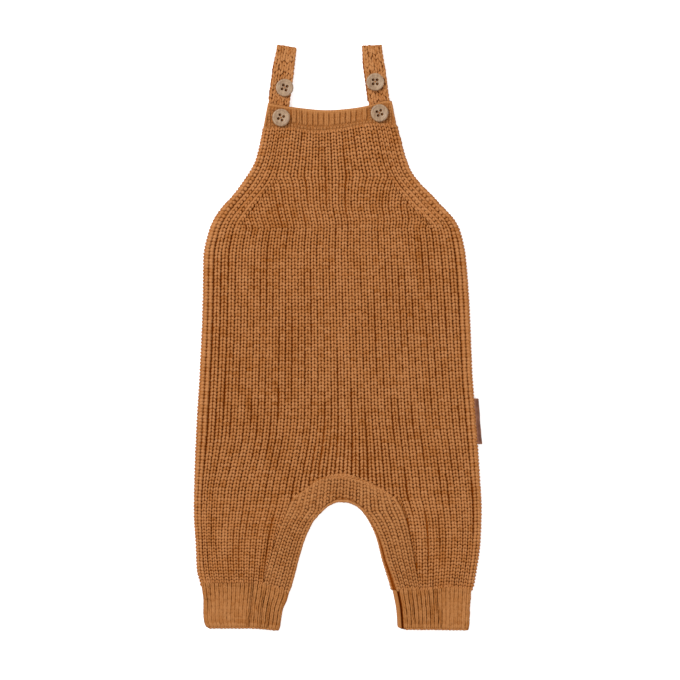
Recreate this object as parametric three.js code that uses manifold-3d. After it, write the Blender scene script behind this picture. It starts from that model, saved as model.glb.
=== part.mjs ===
// Knitted baby dungarees, laid flat on their back with the front up.
// Millimetres. X runs to the right, Y towards the shoulder straps, Z up from the surface they lie on.
// The origin is on that surface, in the middle of the garment.

import * as THREE from "three";
import { mergeVertices } from "three/addons/utils/BufferGeometryUtils.js";
import Module from "manifold-3d";

const wasm = await Module();
wasm.setup();

// Cloth thicknesses and the air between two layers
const SEAM_GAP = 0.3;
const CURVED_SEAM_GAP = 0.45;
const BACK_WALL = 2.6;
const FRONT_WALL = 2.4;
const BAND_WALL = 2.5;
const STRAP_WALL = 2.5;
const FRONT_FLOOR = BACK_WALL + SEAM_GAP;
const RIB_HEIGHT = 0.9;
const BODY_LOFT = 1.3;
const LEG_LOFT = 1.9;
const EDGE_ROUND = 1.1;

// Where the air below the front layer rises and dies away, from the neck to the cuffs
const LOFT = { neckY: 178, fullY: 120, bodyEndY: -100, legY: -142, legEndY: -198, cuffY: -214 };
const LOFT_FLATNESS = 4;

// Ribs across the front: the body, those that run beside an edge, and those that end on the way
const BODY_RIBS = 40;
const EDGE_RIBS = 4;
const ENDED_AT_ARMHOLE = 8;
const LEFT_LEG_RIBS = 15;
const RIGHT_LEG_FIRST_RIB = 27;
const ENDED_AT_INNER_LEG = 5;
const SIDE_COLUMN_SHARE = 0.32;

// Heights along the garment
const NECK_SEAM_Y = 175;
const ARMHOLE_LINE_TOP_Y = 137;
const ARMHOLE_LINE_FOOT_Y = 94;
const LEG_FLARE_Y = 0;
const FORK_Y = -135;
const CROTCH_SIDE_Y = -147.5;
const FIRST_LEG_ROW_SHARE = 0.17;
const LEG_ROWS = [0.14, 0.28, 0.42, 0.56, 0.7, 0.85, 1];
const NECK_SHIFT_REACH = 35;
const CROTCH_SHIFT_Y = { front: -70, back: -100 };

// Rows of the front between the neck seam and the fork, and the ribs that have a point on its underside
const FRONT_ROWS = { headY: 165, footY: -100, step: 10, last: [-107, -119] };
const FRONT_UNDER_RIBS = [2, 4, 9, LEFT_LEG_RIBS, 21, RIGHT_LEG_FIRST_RIB, 32, 36, 38];

// Points beside the ends of a row, in ribs: on the rounded edge, the nearest crest, the underside
const ROUND_POINT = 0.12;
const NEAREST_CREST = 0.2;
const NEAREST_UNDER = 0.3;

// The back panel lies just inside the front's outline; its points are placed by the same rib numbers
const BACK_INSET = 0.5;
const BACK_EDGE_STEP = 0.6;
const BACK_RIGHT_LEG_INSET = 0.8;
const BACK_ROWS = { headY: 163, footY: -130, step: 12 };
const BACK_RIBS = [0, BACK_EDGE_STEP, 5, 10, LEFT_LEG_RIBS, 19, 23, RIGHT_LEG_FIRST_RIB, 31, 35];
const BACK_LEG_ROWS = [0.15, 0.3, 0.45, 0.6, 0.8, 1];

// Outer edges of bib, body and legs
const SIDES = [
  { y: 181, left: -62.6, right: 49.2 },
  { y: 171.3, left: -64.2, right: 52.3 },
  { y: 150.9, left: -69.3, right: 58.2 },
  { y: 140.7, left: -74.4, right: 62.5 },
  { y: 130.5, left: -81.2, right: 70.1 },
  { y: 120.3, left: -88.8, right: 80.3 },
  { y: 110.1, left: -98.2, right: 89.7 },
  { y: 99.9, left: -105, right: 99 },
  { y: 89.7, left: -109.2, right: 104.1 },
  { y: 69.3, left: -113.5, right: 108.4 },
  { y: 28.5, left: -114.3, right: 111.6 },
  { y: -32.7, left: -116.9, right: 114.3 },
  { y: -73.5, left: -119.4, right: 117.5 },
  { y: -114.3, left: -121.1, right: 120.3 },
  { y: -147.5, left: -121.8, right: 122 },
  { y: -173, left: -120.3, right: 121.1 },
  { y: -198.5, left: -119, right: 117.8 },
  { y: -208.7, left: -116.4, right: 116 },
  { y: -220, left: -115, right: 113.9 },
];

// Lines between the ribs beside the edges and the upright ribs; the armhole shaping follows them
const RIB_BORDERS = [
  { y: 181, left: -43.5, right: 31 },
  { y: 137.3, left: -52.3, right: 43.4 },
  { y: 113.5, left: -69.3, right: 61 },
  { y: 93.9, left: -82, right: 79.5 },
  { y: 69.3, left: -86.3, right: 82.5 },
  { y: 8.1, left: -87.6, right: 85.4 },
  { y: -53.1, left: -89.7, right: 89.3 },
  { y: -93.9, left: -94.4, right: 93.1 },
  { y: -134.7, left: -95.6, right: 96.5 },
  { y: -173, left: -94.8, right: 97.3 },
  { y: -220, left: -93.9, right: 91.4 },
];

// Seams between the front panel and the inner-leg strips
const GUSSET_SEAMS = [
  { y: -110, left: -37.8, right: 49.5 },
  { y: -136, left: -37.8, right: 49.5 },
  { y: -147.5, left: -43.8, right: 57.5 },
  { y: -160.2, left: -51.5, right: 61.9 },
  { y: -173, left: -53.4, right: 65 },
  { y: -190, left: -58.2, right: 67.4 },
  { y: -220, left: -66, right: 71 },
];

// Inner leg edges: the front layer, and the back layer that shows past it on the right leg
const INNER_EDGES = [
  { y: -139.8, left: 1.3, right: 1.3, rightBack: 1.3 },
  { y: -143.2, left: -8.1, right: 16.2, rightBack: 15.4 },
  { y: -147.5, left: -13.2, right: 21.7, rightBack: 20.9 },
  { y: -156, left: -20.8, right: 28.8, rightBack: 26.8 },
  { y: -164.5, left: -25.1, right: 33.4, rightBack: 31.2 },
  { y: -173, left: -28.5, right: 37, rightBack: 34.2 },
  { y: -190, left: -33.6, right: 42, rightBack: 38.5 },
  { y: -204.4, left: -37.4, right: 47.2, rightBack: 43 },
  { y: -220, left: -42, right: 52.2, rightBack: 47.6 },
];

// Seam curves across the garment
const NECK_SEAM = [
  { x: -64, y: 175.5 },
  { x: -41, y: 176.4 },
  { x: -21, y: 173.4 },
  { x: 3, y: 175.5 },
  { x: 20, y: 178.8 },
  { x: 35, y: 180 },
  { x: 51, y: 178 },
];
const NECK_TOP = [
  { x: -59.1, y: 199.4 },
  { x: -40.4, y: 196 },
  { x: -8.1, y: 193.1 },
  { x: 12.3, y: 194.6 },
  { x: 26.8, y: 197.2 },
  { x: 42, y: 201.2 },
  { x: 46.2, y: 201 },
];
const CROTCH_ARC = [
  { x: -37.8, y: -135.2 },
  { x: -32.7, y: -133 },
  { x: -22.9, y: -125.9 },
  { x: -14, y: -119.6 },
  { x: 3, y: -116.5 },
  { x: 16.2, y: -119.2 },
  { x: 29.3, y: -124.7 },
  { x: 49.5, y: -136.4 },
];
const CROTCH_EDGE = [
  { x: -13.2, y: -147.5 },
  { x: -8.1, y: -143.2 },
  { x: 1.3, y: -139.8 },
  { x: 8, y: -140 },
  { x: 16.2, y: -143.2 },
  { x: 21.7, y: -147.5 },
];
const CUFF_SEAM = [
  { x: -116.4, y: -208.7 },
  { x: -80.3, y: -208.4 },
  { x: -62, y: -211 },
  { x: -41, y: -218.4 },
  { x: -34, y: -221 },
  { x: 46, y: -215 },
  { x: 74, y: -215.2 },
  { x: 95.2, y: -212.6 },
  { x: 114.2, y: -215 },
];

// Crotch gusset: ribs in all, and those that reach into each leg
const GUSSET_RIBS = 14;
const GUSSET_LEG_RIBS = 5;
const GUSSET_RIB_HEIGHT = 0.6;
const GUSSET_ARC_INSET = 0.4;
const GUSSET_BODY_ROWS = [0, 0.35, 0.7, 1];
const GUSSET_UNDER_RIBS = [2.5, GUSSET_LEG_RIBS, 7, GUSSET_RIBS - GUSSET_LEG_RIBS, 11.5];

// Neckband ribs
const BAND_RIBS = 14;
const BAND_RIBS_LEFT = -38.7;
const BAND_RIBS_RIGHT = 26;
const BAND_RIB_HEIGHT = 0.6;
const BACK_BAND_RISE = 0.7;
const BACK_BAND_SHORTER = 0.8;
const BACK_BAND_SPANS = 10;
const BAND_SEAM_ENDS = [-63.6, 50.4];
const BAND_TOP_ENDS = [-59.1, 46.2];
const BAND_LEFT_END_SHARES = [0, 0.06, 0.5, 1];
const BAND_RIGHT_END_SHARES = [0, 0.5, 0.94, 1];

// Rows of a neckband from its top edge to its seam: height as a share, ribbed or plain, and how far
// the cloth turns down there on the front and on the back band
const BAND_ROWS = [
  { share: 1, ribbed: 0, drop: 1, backDrop: 0.4 },
  { share: 0.9, ribbed: 0, drop: 0.3, backDrop: 0.3 },
  { share: 0.78, ribbed: 1, drop: 0, backDrop: 0 },
  { share: 0.3, ribbed: 1, drop: 0, backDrop: 0 },
  { share: 0.16, ribbed: 0, drop: 0, backDrop: 0 },
  { share: 0, ribbed: 0, drop: 0.5, backDrop: 0.5 },
];

// Where the bib corners lie on the straps
const CORNER_LIFT = STRAP_WALL + SEAM_GAP;
const LEFT_CORNER = { full: -38.5, none: -28 };
const RIGHT_CORNER = { full: 24.5, none: 14 };
const CORNER_LIFT_FOOT_Y = 148;
const CORNER_LIFT_HEAD_Y = 172;

// Shoulder straps: x of the middle at the fold and behind the bib, and how far the back length shows
const STRAP_WIDTH = 18.2;
const STRAP_END_Y = 181.5;
const STRAP_RIBS_FADE = { from: 202.5, to: 206.5 };
const STRAP_COLUMNS = 4;
const STRAP_RIB_HEIGHT = 0.5;
const STRAPS = [
  { name: "strap_left", xFold: -43.6, yFold: 248, xEnd: -52.6, foldSlope: -0.16, backShift: -1.4 },
  { name: "strap_right", xFold: 28.9, yFold: 248.9, xEnd: 38, foldSlope: 0.03, backShift: -1.3 },
];
const FOLD_STEPS = 6;
const STRAP_BACK_ROWS = [0, 0.25, 0.5, 0.75];
const STRAP_FRONT_ROWS = [0.8, 0.65, 0.5, 0.35, 0.2, 0.08, 0];
const PLAIN_BELOW_ANGLE = -1;

// Cuffs: edges at the seam and at the hem, on the outer and the inner side of each leg
const CUFF_RIB_PITCH = 3.7;
const CUFF_RIB_HEIGHT = 0.8;
const CUFF_SLIT = 0.4;
const CUFF_SLIT_MARGIN = 2.2;
const CUFF_CORNER = 0.4;
const CUFF_SPANS = { atSeam: 24, below: 4 };
const CUFF_RIBS_AT_ENDS = 0.3;
const CUFF_RIBS_START = 0.12;
const CUFF_HEM = { ribsEnd: 0.9, turnsDown: 0.93, drop: 0.7 };

// The back layer beside the right cuff: its edge, its inner corner and the groove before the front
const CUFF_STEP_POINTS = [
  { fromEdge: 0.8, height: 1, at: -1.6 },
  { fromStart: -1.2, height: 1, at: -1.2 },
  { fromStart: -0.4, height: 0.9, at: -0.8 },
];
const CUFFS = [
  {
    name: "cuff_left",
    rows: [
      { y: -208.7, left: -116.2, right: -41.5 },
      { y: -216, left: -115.2, right: -43 },
      { y: -226.5, left: -114, right: -46.4 },
      { y: -237, left: -113.8, right: -48 },
      { y: -244, left: -113.4, right: -48.9 },
      { y: -247.4, left: -110.8, right: -50.2 },
    ],
    step: 0,
    hem: [
      { x: -113.4, y: -245 },
      { x: -109, y: -247.6 },
      { x: -76, y: -247.6 },
      { x: -50.6, y: -249.5 },
    ],
  },
  {
    name: "cuff_right",
    rows: [
      { y: -214.8, left: 46.8, right: 114 },
      { y: -222, left: 48.2, right: 113.2 },
      { y: -231, left: 49.8, right: 112.6 },
      { y: -240, left: 50.6, right: 112.2 },
      { y: -246, left: 50.9, right: 111.9 },
      { y: -248, left: 51.2, right: 111.4 },
    ],
    step: 5.4,
    hem: [
      { x: 51, y: -246.6 },
      { x: 57, y: -248.6 },
      { x: 84, y: -248.8 },
      { x: 111.8, y: -249.2 },
    ],
  },
];

// Buttons: outer size, dished face and the four sewing holes
const BUTTON = {
  radius: 7.5,
  height: 3,
  rimTop: 6.9,
  rimInner: 5.7,
  groove: 5,
  dish: 4.2,
  dishDepth: 0.8,
  holeRadius: 1,
  holeSpacing: 3.4,
  bevelBelow: { inset: 0.7, height: 0.9 },
  shoulder: 0.8,
  grooveDepth: 0.5,
  sides: 22,
  holeSides: 8,
};
const BUTTONS = [
  { name: "button_upper_left", x: -44.9, y: 212.2, turn: -18, on: "strap" },
  { name: "button_lower_left", x: -47.9, y: 186.6, turn: -24, on: "band" },
  { name: "button_upper_right", x: 32, y: 217.1, turn: 0, on: "strap" },
  { name: "button_lower_right", x: 35.6, y: 190.5, turn: 18, on: "band" },
];

// Folded leather tab in the right side seam
const LABEL = {
  yTop: -51.8,
  yFoot: -90.8,
  reach: 4.6,
  leather: 1.05,
  inside: 0.4,
  clear: 0.3,
  bend: 1,
  bendTip: 0.3,
  bendHeight: 0.72,
  innerBend: 0.4,
};

// Deep valleys pressed into legs and cuffs: where each starts and ends, its half width and depth
const CREASE_FADE = 0.15;
const CREASES = [
  { x: -71.1, y: -206, xEnd: -75.6, yEnd: -244, half: 2.4, depth: 0.9 },
  { x: -62.6, y: -222, xEnd: -65.5, yEnd: -243, half: 2, depth: 0.7 },
  { x: -57.5, y: -220, xEnd: -60, yEnd: -242, half: 2, depth: 0.7 },
  { x: 81, y: -214, xEnd: 87.5, yEnd: -239, half: 2.2, depth: 0.8 },
  { x: 63, y: -217, xEnd: 66, yEnd: -238, half: 2, depth: 0.6 },
  { x: 53.8, y: -133, xEnd: 69.3, yEnd: -206, half: 3, depth: 1 },
  { x: 84.6, y: -155, xEnd: 90.5, yEnd: -194, half: 2.6, depth: 0.8 },
  { x: -83, y: -43, xEnd: -69.3, yEnd: -70, half: 5, depth: 0.8 },
  { x: -58, y: -168, xEnd: -66, yEnd: -205, half: 3, depth: 0.8 },
];

const mix = (from, to, share) => from + (to - from) * share;

function ease(from, to, at) {
  const share = Math.min(1, Math.max(0, (at - from) / (to - from)));
  return share * share * (3 - 2 * share);
}

// The value of a column at a place along the key column, on a smooth curve that doesn't overshoot.
function read(table, key, column, at) {
  const falling = table[0][key] > table[table.length - 1][key];
  const rows = falling ? [...table].reverse() : table;
  const last = rows.length - 1;
  if (at <= rows[0][key]) return rows[0][column];
  if (at >= rows[last][key]) return rows[last][column];
  let i = 0;
  while (rows[i + 1][key] < at) i += 1;
  const slope = (k) =>
    (rows[k + 1][column] - rows[k][column]) / (rows[k + 1][key] - rows[k][key]);
  const tangent = (k) => {
    if (k === 0) return slope(0);
    if (k === last) return slope(last - 1);
    const before = slope(k - 1);
    const after = slope(k);
    return before * after <= 0 ? 0 : (2 * before * after) / (before + after);
  };
  const width = rows[i + 1][key] - rows[i][key];
  const t = (at - rows[i][key]) / width;
  const rise = t * t * (3 - 2 * t);
  return (
    mix(rows[i][column], rows[i + 1][column], rise) +
    width * t * (1 - t) * ((1 - t) * tangent(i) - t * tangent(i + 1))
  );
}

// How deep the pressed valleys are at a point of the cloth.
function creaseDepth(x, y) {
  let depth = 0;
  for (const c of CREASES) {
    const along = [c.xEnd - c.x, c.yEnd - c.y];
    const length = Math.hypot(...along);
    const share = ((x - c.x) * along[0] + (y - c.y) * along[1]) / (length * length);
    const off = Math.abs((x - c.x) * along[1] - (y - c.y) * along[0]) / length;
    const ends =
      ease(-CREASE_FADE, CREASE_FADE, share) * ease(1 + CREASE_FADE, 1 - CREASE_FADE, share);
    depth = Math.max(depth, c.depth * ends * Math.max(0, 1 - off / c.half));
  }
  return depth;
}

// How far the bib corners are lifted by the strap below them.
function cornerLift(x, y) {
  const beside = Math.max(
    ease(LEFT_CORNER.none, LEFT_CORNER.full, x),
    ease(RIGHT_CORNER.none, RIGHT_CORNER.full, x),
  );
  return CORNER_LIFT * beside * ease(CORNER_LIFT_FOOT_Y, CORNER_LIFT_HEAD_Y, y);
}

// How far the front layer stands up with the air below it, over the body and over each leg.
function loft(x, y) {
  const dome = (share) => Math.max(0, 1 - Math.abs(2 * share - 1) ** LOFT_FLATNESS);
  const left = read(SIDES, "y", "left", y);
  const right = read(SIDES, "y", "right", y);
  const innerLeft = read(INNER_EDGES, "y", "left", y);
  const innerRight = read(INNER_EDGES, "y", "right", y);
  const acrossBody = dome((x - left) / (right - left));
  const inBody = BODY_LOFT * acrossBody * ease(LOFT.neckY, LOFT.fullY, y);
  const share = x < 0 ? (x - left) / (innerLeft - left) : (right - x) / (right - innerRight);
  const inLeg = LEG_LOFT * dome(Math.min(1, share)) * ease(LOFT.cuffY, LOFT.legEndY, y);
  return mix(inBody, inLeg, ease(LOFT.bodyEndY, LOFT.legY, y));
}

// A wall grows from rows of points, from the top of the garment down. Each point knows its rib number,
// so that rows with different numbers of points can be joined.
class Wall {
  constructor() {
    this.points = [];
    this.faces = [];
  }

  chain(points) {
    return points.map((p) => {
      this.points.push(p.x, p.y, p.z);
      return { id: this.points.length / 3 - 1, at: p.at };
    });
  }

  row(top, under) {
    return { top: this.chain(top), under: this.chain(under) };
  }

  face(a, b, c, turned) {
    this.faces.push(...(turned ? [a.id, c.id, b.id] : [a.id, b.id, c.id]));
  }

  // Triangles between two chains that run from left to right, the first one above the other.
  zip(first, second, turned = false) {
    let i = 0;
    let j = 0;
    while (i < first.length - 1 || j < second.length - 1) {
      const stepFirst =
        j === second.length - 1 ||
        (i < first.length - 1 &&
          first[i].at + first[i + 1].at <= second[j].at + second[j + 1].at);
      if (stepFirst) {
        this.face(first[i], second[j], first[i + 1], turned);
        i += 1;
      } else {
        this.face(first[i], second[j], second[j + 1], turned);
        j += 1;
      }
    }
  }

  join(above, below) {
    this.zip(above.top, below.top);
    this.zip(above.under, below.under, true);
    for (const right of [false, true]) {
      const end = (chain) => (right ? chain[chain.length - 1] : chain[0]);
      this.face(end(above.top), end(above.under), end(below.top), right);
      this.face(end(above.under), end(below.under), end(below.top), right);
    }
  }

  joinAll(rows) {
    for (let k = 0; k < rows.length - 1; k += 1) this.join(rows[k], rows[k + 1]);
  }

  closeHead(row) {
    this.zip(row.under, row.top);
  }

  closeFoot(row) {
    this.zip(row.top, row.under);
  }

  geometry() {
    const made = new THREE.BufferGeometry();
    made.setAttribute("position", new THREE.Float32BufferAttribute(this.points, 3));
    made.setIndex(this.faces);
    return made;
  }
}

// The part of a row between two rib numbers.
function part(row, from, to) {
  const inside = (chain) => chain.filter((p) => p.at >= from && p.at <= to);
  return { top: inside(row.top), under: inside(row.under) };
}

// A wall whose body divides into two legs: the stretch of the last body row between them is an edge.
function forkedWall(body, left, right, leftEnd, rightStart) {
  const wall = new Wall();
  const lay = (row) => wall.row(row.top, row.under);
  const bodyRows = body.map(lay);
  const fork = bodyRows[bodyRows.length - 1];
  const ribs = fork.top[fork.top.length - 1].at;
  const leftRows = [part(fork, 0, leftEnd), ...left.map(lay)];
  const rightRows = [part(fork, rightStart, ribs), ...right.map(lay)];
  wall.joinAll(bodyRows);
  wall.joinAll(leftRows);
  wall.joinAll(rightRows);
  wall.closeHead(bodyRows[0]);
  wall.closeFoot(part(fork, leftEnd, rightStart));
  wall.closeFoot(leftRows[leftRows.length - 1]);
  wall.closeFoot(rightRows[rightRows.length - 1]);
  return wall.geometry();
}

// Rib numbers of the points along a row: rounded ends, then a crest and a valley for each rib.
function ribStations(from, to, roundLeft, roundRight) {
  const stations = [from];
  if (roundLeft) stations.push(from + ROUND_POINT);
  for (let half = Math.floor(2 * from) + 1; half < 2 * to; half += 1) {
    const at = half / 2;
    if (at > from + NEAREST_CREST && at < to - NEAREST_CREST) stations.push(at);
  }
  if (roundRight) stations.push(to - ROUND_POINT);
  stations.push(to);
  return stations;
}

// Height across the ribs, from half a rib below the middle in a valley to half above it on a crest.
const ribWave = (at) => Math.abs(Math.sin(Math.PI * at)) - 0.5;

// Where a rib beside the edge lies, as a share of the way from the edge to the upright ribs.
function edgeRibShare(rib) {
  if (rib <= 1) return SIDE_COLUMN_SHARE * rib;
  return SIDE_COLUMN_SHARE + ((rib - 1) * (1 - SIDE_COLUMN_SHARE)) / (EDGE_RIBS - 1);
}

// The x of a rib line in the bib and the body.
function bodyRibX(rib, y) {
  const left = read(SIDES, "y", "left", y);
  const right = read(SIDES, "y", "right", y);
  const borderLeft = read(RIB_BORDERS, "y", "left", y);
  const borderRight = read(RIB_BORDERS, "y", "right", y);
  if (rib <= EDGE_RIBS) return mix(left, borderLeft, edgeRibShare(rib));
  if (rib >= BODY_RIBS - EDGE_RIBS)
    return mix(right, borderRight, edgeRibShare(BODY_RIBS - rib));
  const ended = endedAtArmhole(y);
  const upright = BODY_RIBS - 2 * EDGE_RIBS;
  const inUpper = mix(
    borderLeft,
    borderRight,
    (rib - EDGE_RIBS - ended) / (upright - 2 * ended),
  );
  const seamLeft = read(GUSSET_SEAMS, "y", "left", y);
  const seamRight = read(GUSSET_SEAMS, "y", "right", y);
  const inLower =
    rib <= LEFT_LEG_RIBS
      ? mix(borderLeft, seamLeft, (rib - EDGE_RIBS) / (LEFT_LEG_RIBS - EDGE_RIBS))
      : rib >= RIGHT_LEG_FIRST_RIB
        ? mix(
            seamRight,
            borderRight,
            (rib - RIGHT_LEG_FIRST_RIB) / (BODY_RIBS - EDGE_RIBS - RIGHT_LEG_FIRST_RIB),
          )
        : mix(
            seamLeft,
            seamRight,
            (rib - LEFT_LEG_RIBS) / (RIGHT_LEG_FIRST_RIB - LEFT_LEG_RIBS),
          );
  return mix(inUpper, inLower, ease(LEG_FLARE_Y, FORK_Y, y));
}

// How many upright ribs have ended on each side at this height, counted from the body up.
function endedAtArmhole(y) {
  const share = (y - ARMHOLE_LINE_FOOT_Y) / (ARMHOLE_LINE_TOP_Y - ARMHOLE_LINE_FOOT_Y);
  return ENDED_AT_ARMHOLE * Math.min(1, Math.max(0, share));
}

// The x of a rib line in a leg of the front panel, where ribs end one by one at the inner-leg seam.
function legRibX(rib, y, ended) {
  if (rib <= LEFT_LEG_RIBS) {
    const left = read(SIDES, "y", "left", y);
    const border = read(RIB_BORDERS, "y", "left", y);
    if (rib <= EDGE_RIBS) return mix(left, border, edgeRibShare(rib));
    const seam = read(GUSSET_SEAMS, "y", "left", y) - SEAM_GAP / 2;
    return mix(border, seam, (rib - EDGE_RIBS) / (LEFT_LEG_RIBS - EDGE_RIBS - ended));
  }
  const right = read(SIDES, "y", "right", y);
  const border = read(RIB_BORDERS, "y", "right", y);
  if (rib >= BODY_RIBS - EDGE_RIBS) return mix(right, border, edgeRibShare(BODY_RIBS - rib));
  const seam = read(GUSSET_SEAMS, "y", "right", y) + SEAM_GAP / 2;
  const first = RIGHT_LEG_FIRST_RIB + ended;
  return mix(seam, border, (rib - first) / (BODY_RIBS - EDGE_RIBS - first));
}

// How far a row is moved along the garment to follow the neck seam.
function neckShift(x, height) {
  const seam = read(NECK_SEAM, "x", "y", x) - CURVED_SEAM_GAP;
  return (seam - NECK_SEAM_Y) * ease(NECK_SEAM_Y - NECK_SHIFT_REACH, NECK_SEAM_Y, height);
}

// The y where a line that runs down a leg meets the cuff seam, from the x of the line at any y.
function meetCuff(lineX) {
  let y = CUFF_SEAM[0].y;
  for (let k = 0; k < 5; k += 1) y = read(CUFF_SEAM, "x", "y", lineX(y));
  return y + CURVED_SEAM_GAP;
}

// Height of the front layer's underside.
const frontFloor = (x, y) => FRONT_FLOOR + loft(x, y) + cornerLift(x, y);

// A point on the front layer's upper side; edges are rounded where a side is folded.
function frontTop(x, y, at, ends, ribHeight) {
  const fromEdge = Math.min(
    ends.roundLeft ? at - ends.from : 1,
    ends.roundRight ? ends.to - at : 1,
  );
  const nearEdge = fromEdge < NEAREST_CREST ? EDGE_ROUND / 2 : 0;
  const drop = fromEdge <= 0 ? FRONT_WALL - EDGE_ROUND : nearEdge;
  const z =
    frontFloor(x, y) + FRONT_WALL + ribHeight * ribWave(at) - creaseDepth(x, y) - drop;
  return { x, y, z, at };
}

function frontRow(place, ends, underStations, ribHeight) {
  const stations = ribStations(ends.from, ends.to, ends.roundLeft, ends.roundRight);
  const top = stations.map((at) => {
    const p = place(at);
    return frontTop(p.x, p.y, at, ends, ribHeight);
  });
  const inner = underStations.filter(
    (at) => at > ends.from + NEAREST_UNDER && at < ends.to - NEAREST_UNDER,
  );
  const under = [ends.from, ...inner, ends.to].map((at) => {
    const inset =
      (ends.roundLeft && at === ends.from ? EDGE_ROUND : 0) -
      (ends.roundRight && at === ends.to ? EDGE_ROUND : 0);
    const p = place(at);
    return { x: p.x + inset, y: p.y, z: frontFloor(p.x, p.y), at };
  });
  return { top, under };
}

// Whole rib numbers from one to another; rows along a curved seam have a point at each of them.
function everyRib(from, to) {
  const ribs = [];
  for (let rib = Math.ceil(from); rib <= to; rib += 1) ribs.push(rib);
  return ribs;
}

function makeFrontPanel() {
  const dense = everyRib(0, BODY_RIBS);
  const bodyHeights = [NECK_SEAM_Y];
  for (let y = FRONT_ROWS.headY; y > FRONT_ROWS.footY; y -= FRONT_ROWS.step) bodyHeights.push(y);
  bodyHeights.push(...FRONT_ROWS.last, FORK_Y);
  const placeInBody = (height) => (at) => {
    const x = bodyRibX(at, height);
    const neck = neckShift(x, height);
    const inside = x > CROTCH_ARC[0].x && x < CROTCH_ARC[CROTCH_ARC.length - 1].x;
    const arc = inside ? read(CROTCH_ARC, "x", "y", x) - FORK_Y + SEAM_GAP / 2 : 0;
    const crotch = Math.max(0, arc) * ease(CROTCH_SHIFT_Y.front, FORK_Y, height);
    return { x, y: height + neck + crotch };
  };
  const body = bodyHeights.map((height) => {
    const ended = endedAtArmhole(height);
    const row = frontRow(
      placeInBody(height),
      { from: 0, to: BODY_RIBS, roundLeft: true, roundRight: true },
      height === NECK_SEAM_Y || height === FORK_Y ? dense : FRONT_UNDER_RIBS,
      RIB_HEIGHT,
    );
    const firstUpright = EDGE_RIBS + ended + NEAREST_CREST;
    const shown = (p) =>
      p.at <= EDGE_RIBS ||
      p.at >= BODY_RIBS - EDGE_RIBS ||
      (p.at > firstUpright && p.at < BODY_RIBS - firstUpright);
    return { top: row.top.filter(shown), under: row.under.filter(shown) };
  });
  const legRow = (share, left) => {
    const ended = ENDED_AT_INNER_LEG * mix(FIRST_LEG_ROW_SHARE, 1, share);
    const ends = left
      ? { from: 0, to: LEFT_LEG_RIBS - ended, roundLeft: true, roundRight: false }
      : { from: RIGHT_LEG_FIRST_RIB + ended, to: BODY_RIBS, roundLeft: false, roundRight: true };
    const place = (at) => {
      const foot = meetCuff((y) => legRibX(at, y, ended));
      const y = mix(CROTCH_SIDE_Y, foot, share);
      return { x: legRibX(at, y, ended), y };
    };
    return frontRow(place, ends, share === 1 ? dense : FRONT_UNDER_RIBS, RIB_HEIGHT);
  };
  const left = [0, ...LEG_ROWS].map((share) => legRow(share, true));
  const right = [0, ...LEG_ROWS].map((share) => legRow(share, false));
  return forkedWall(body, left, right, LEFT_LEG_RIBS, RIGHT_LEG_FIRST_RIB);
}

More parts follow.
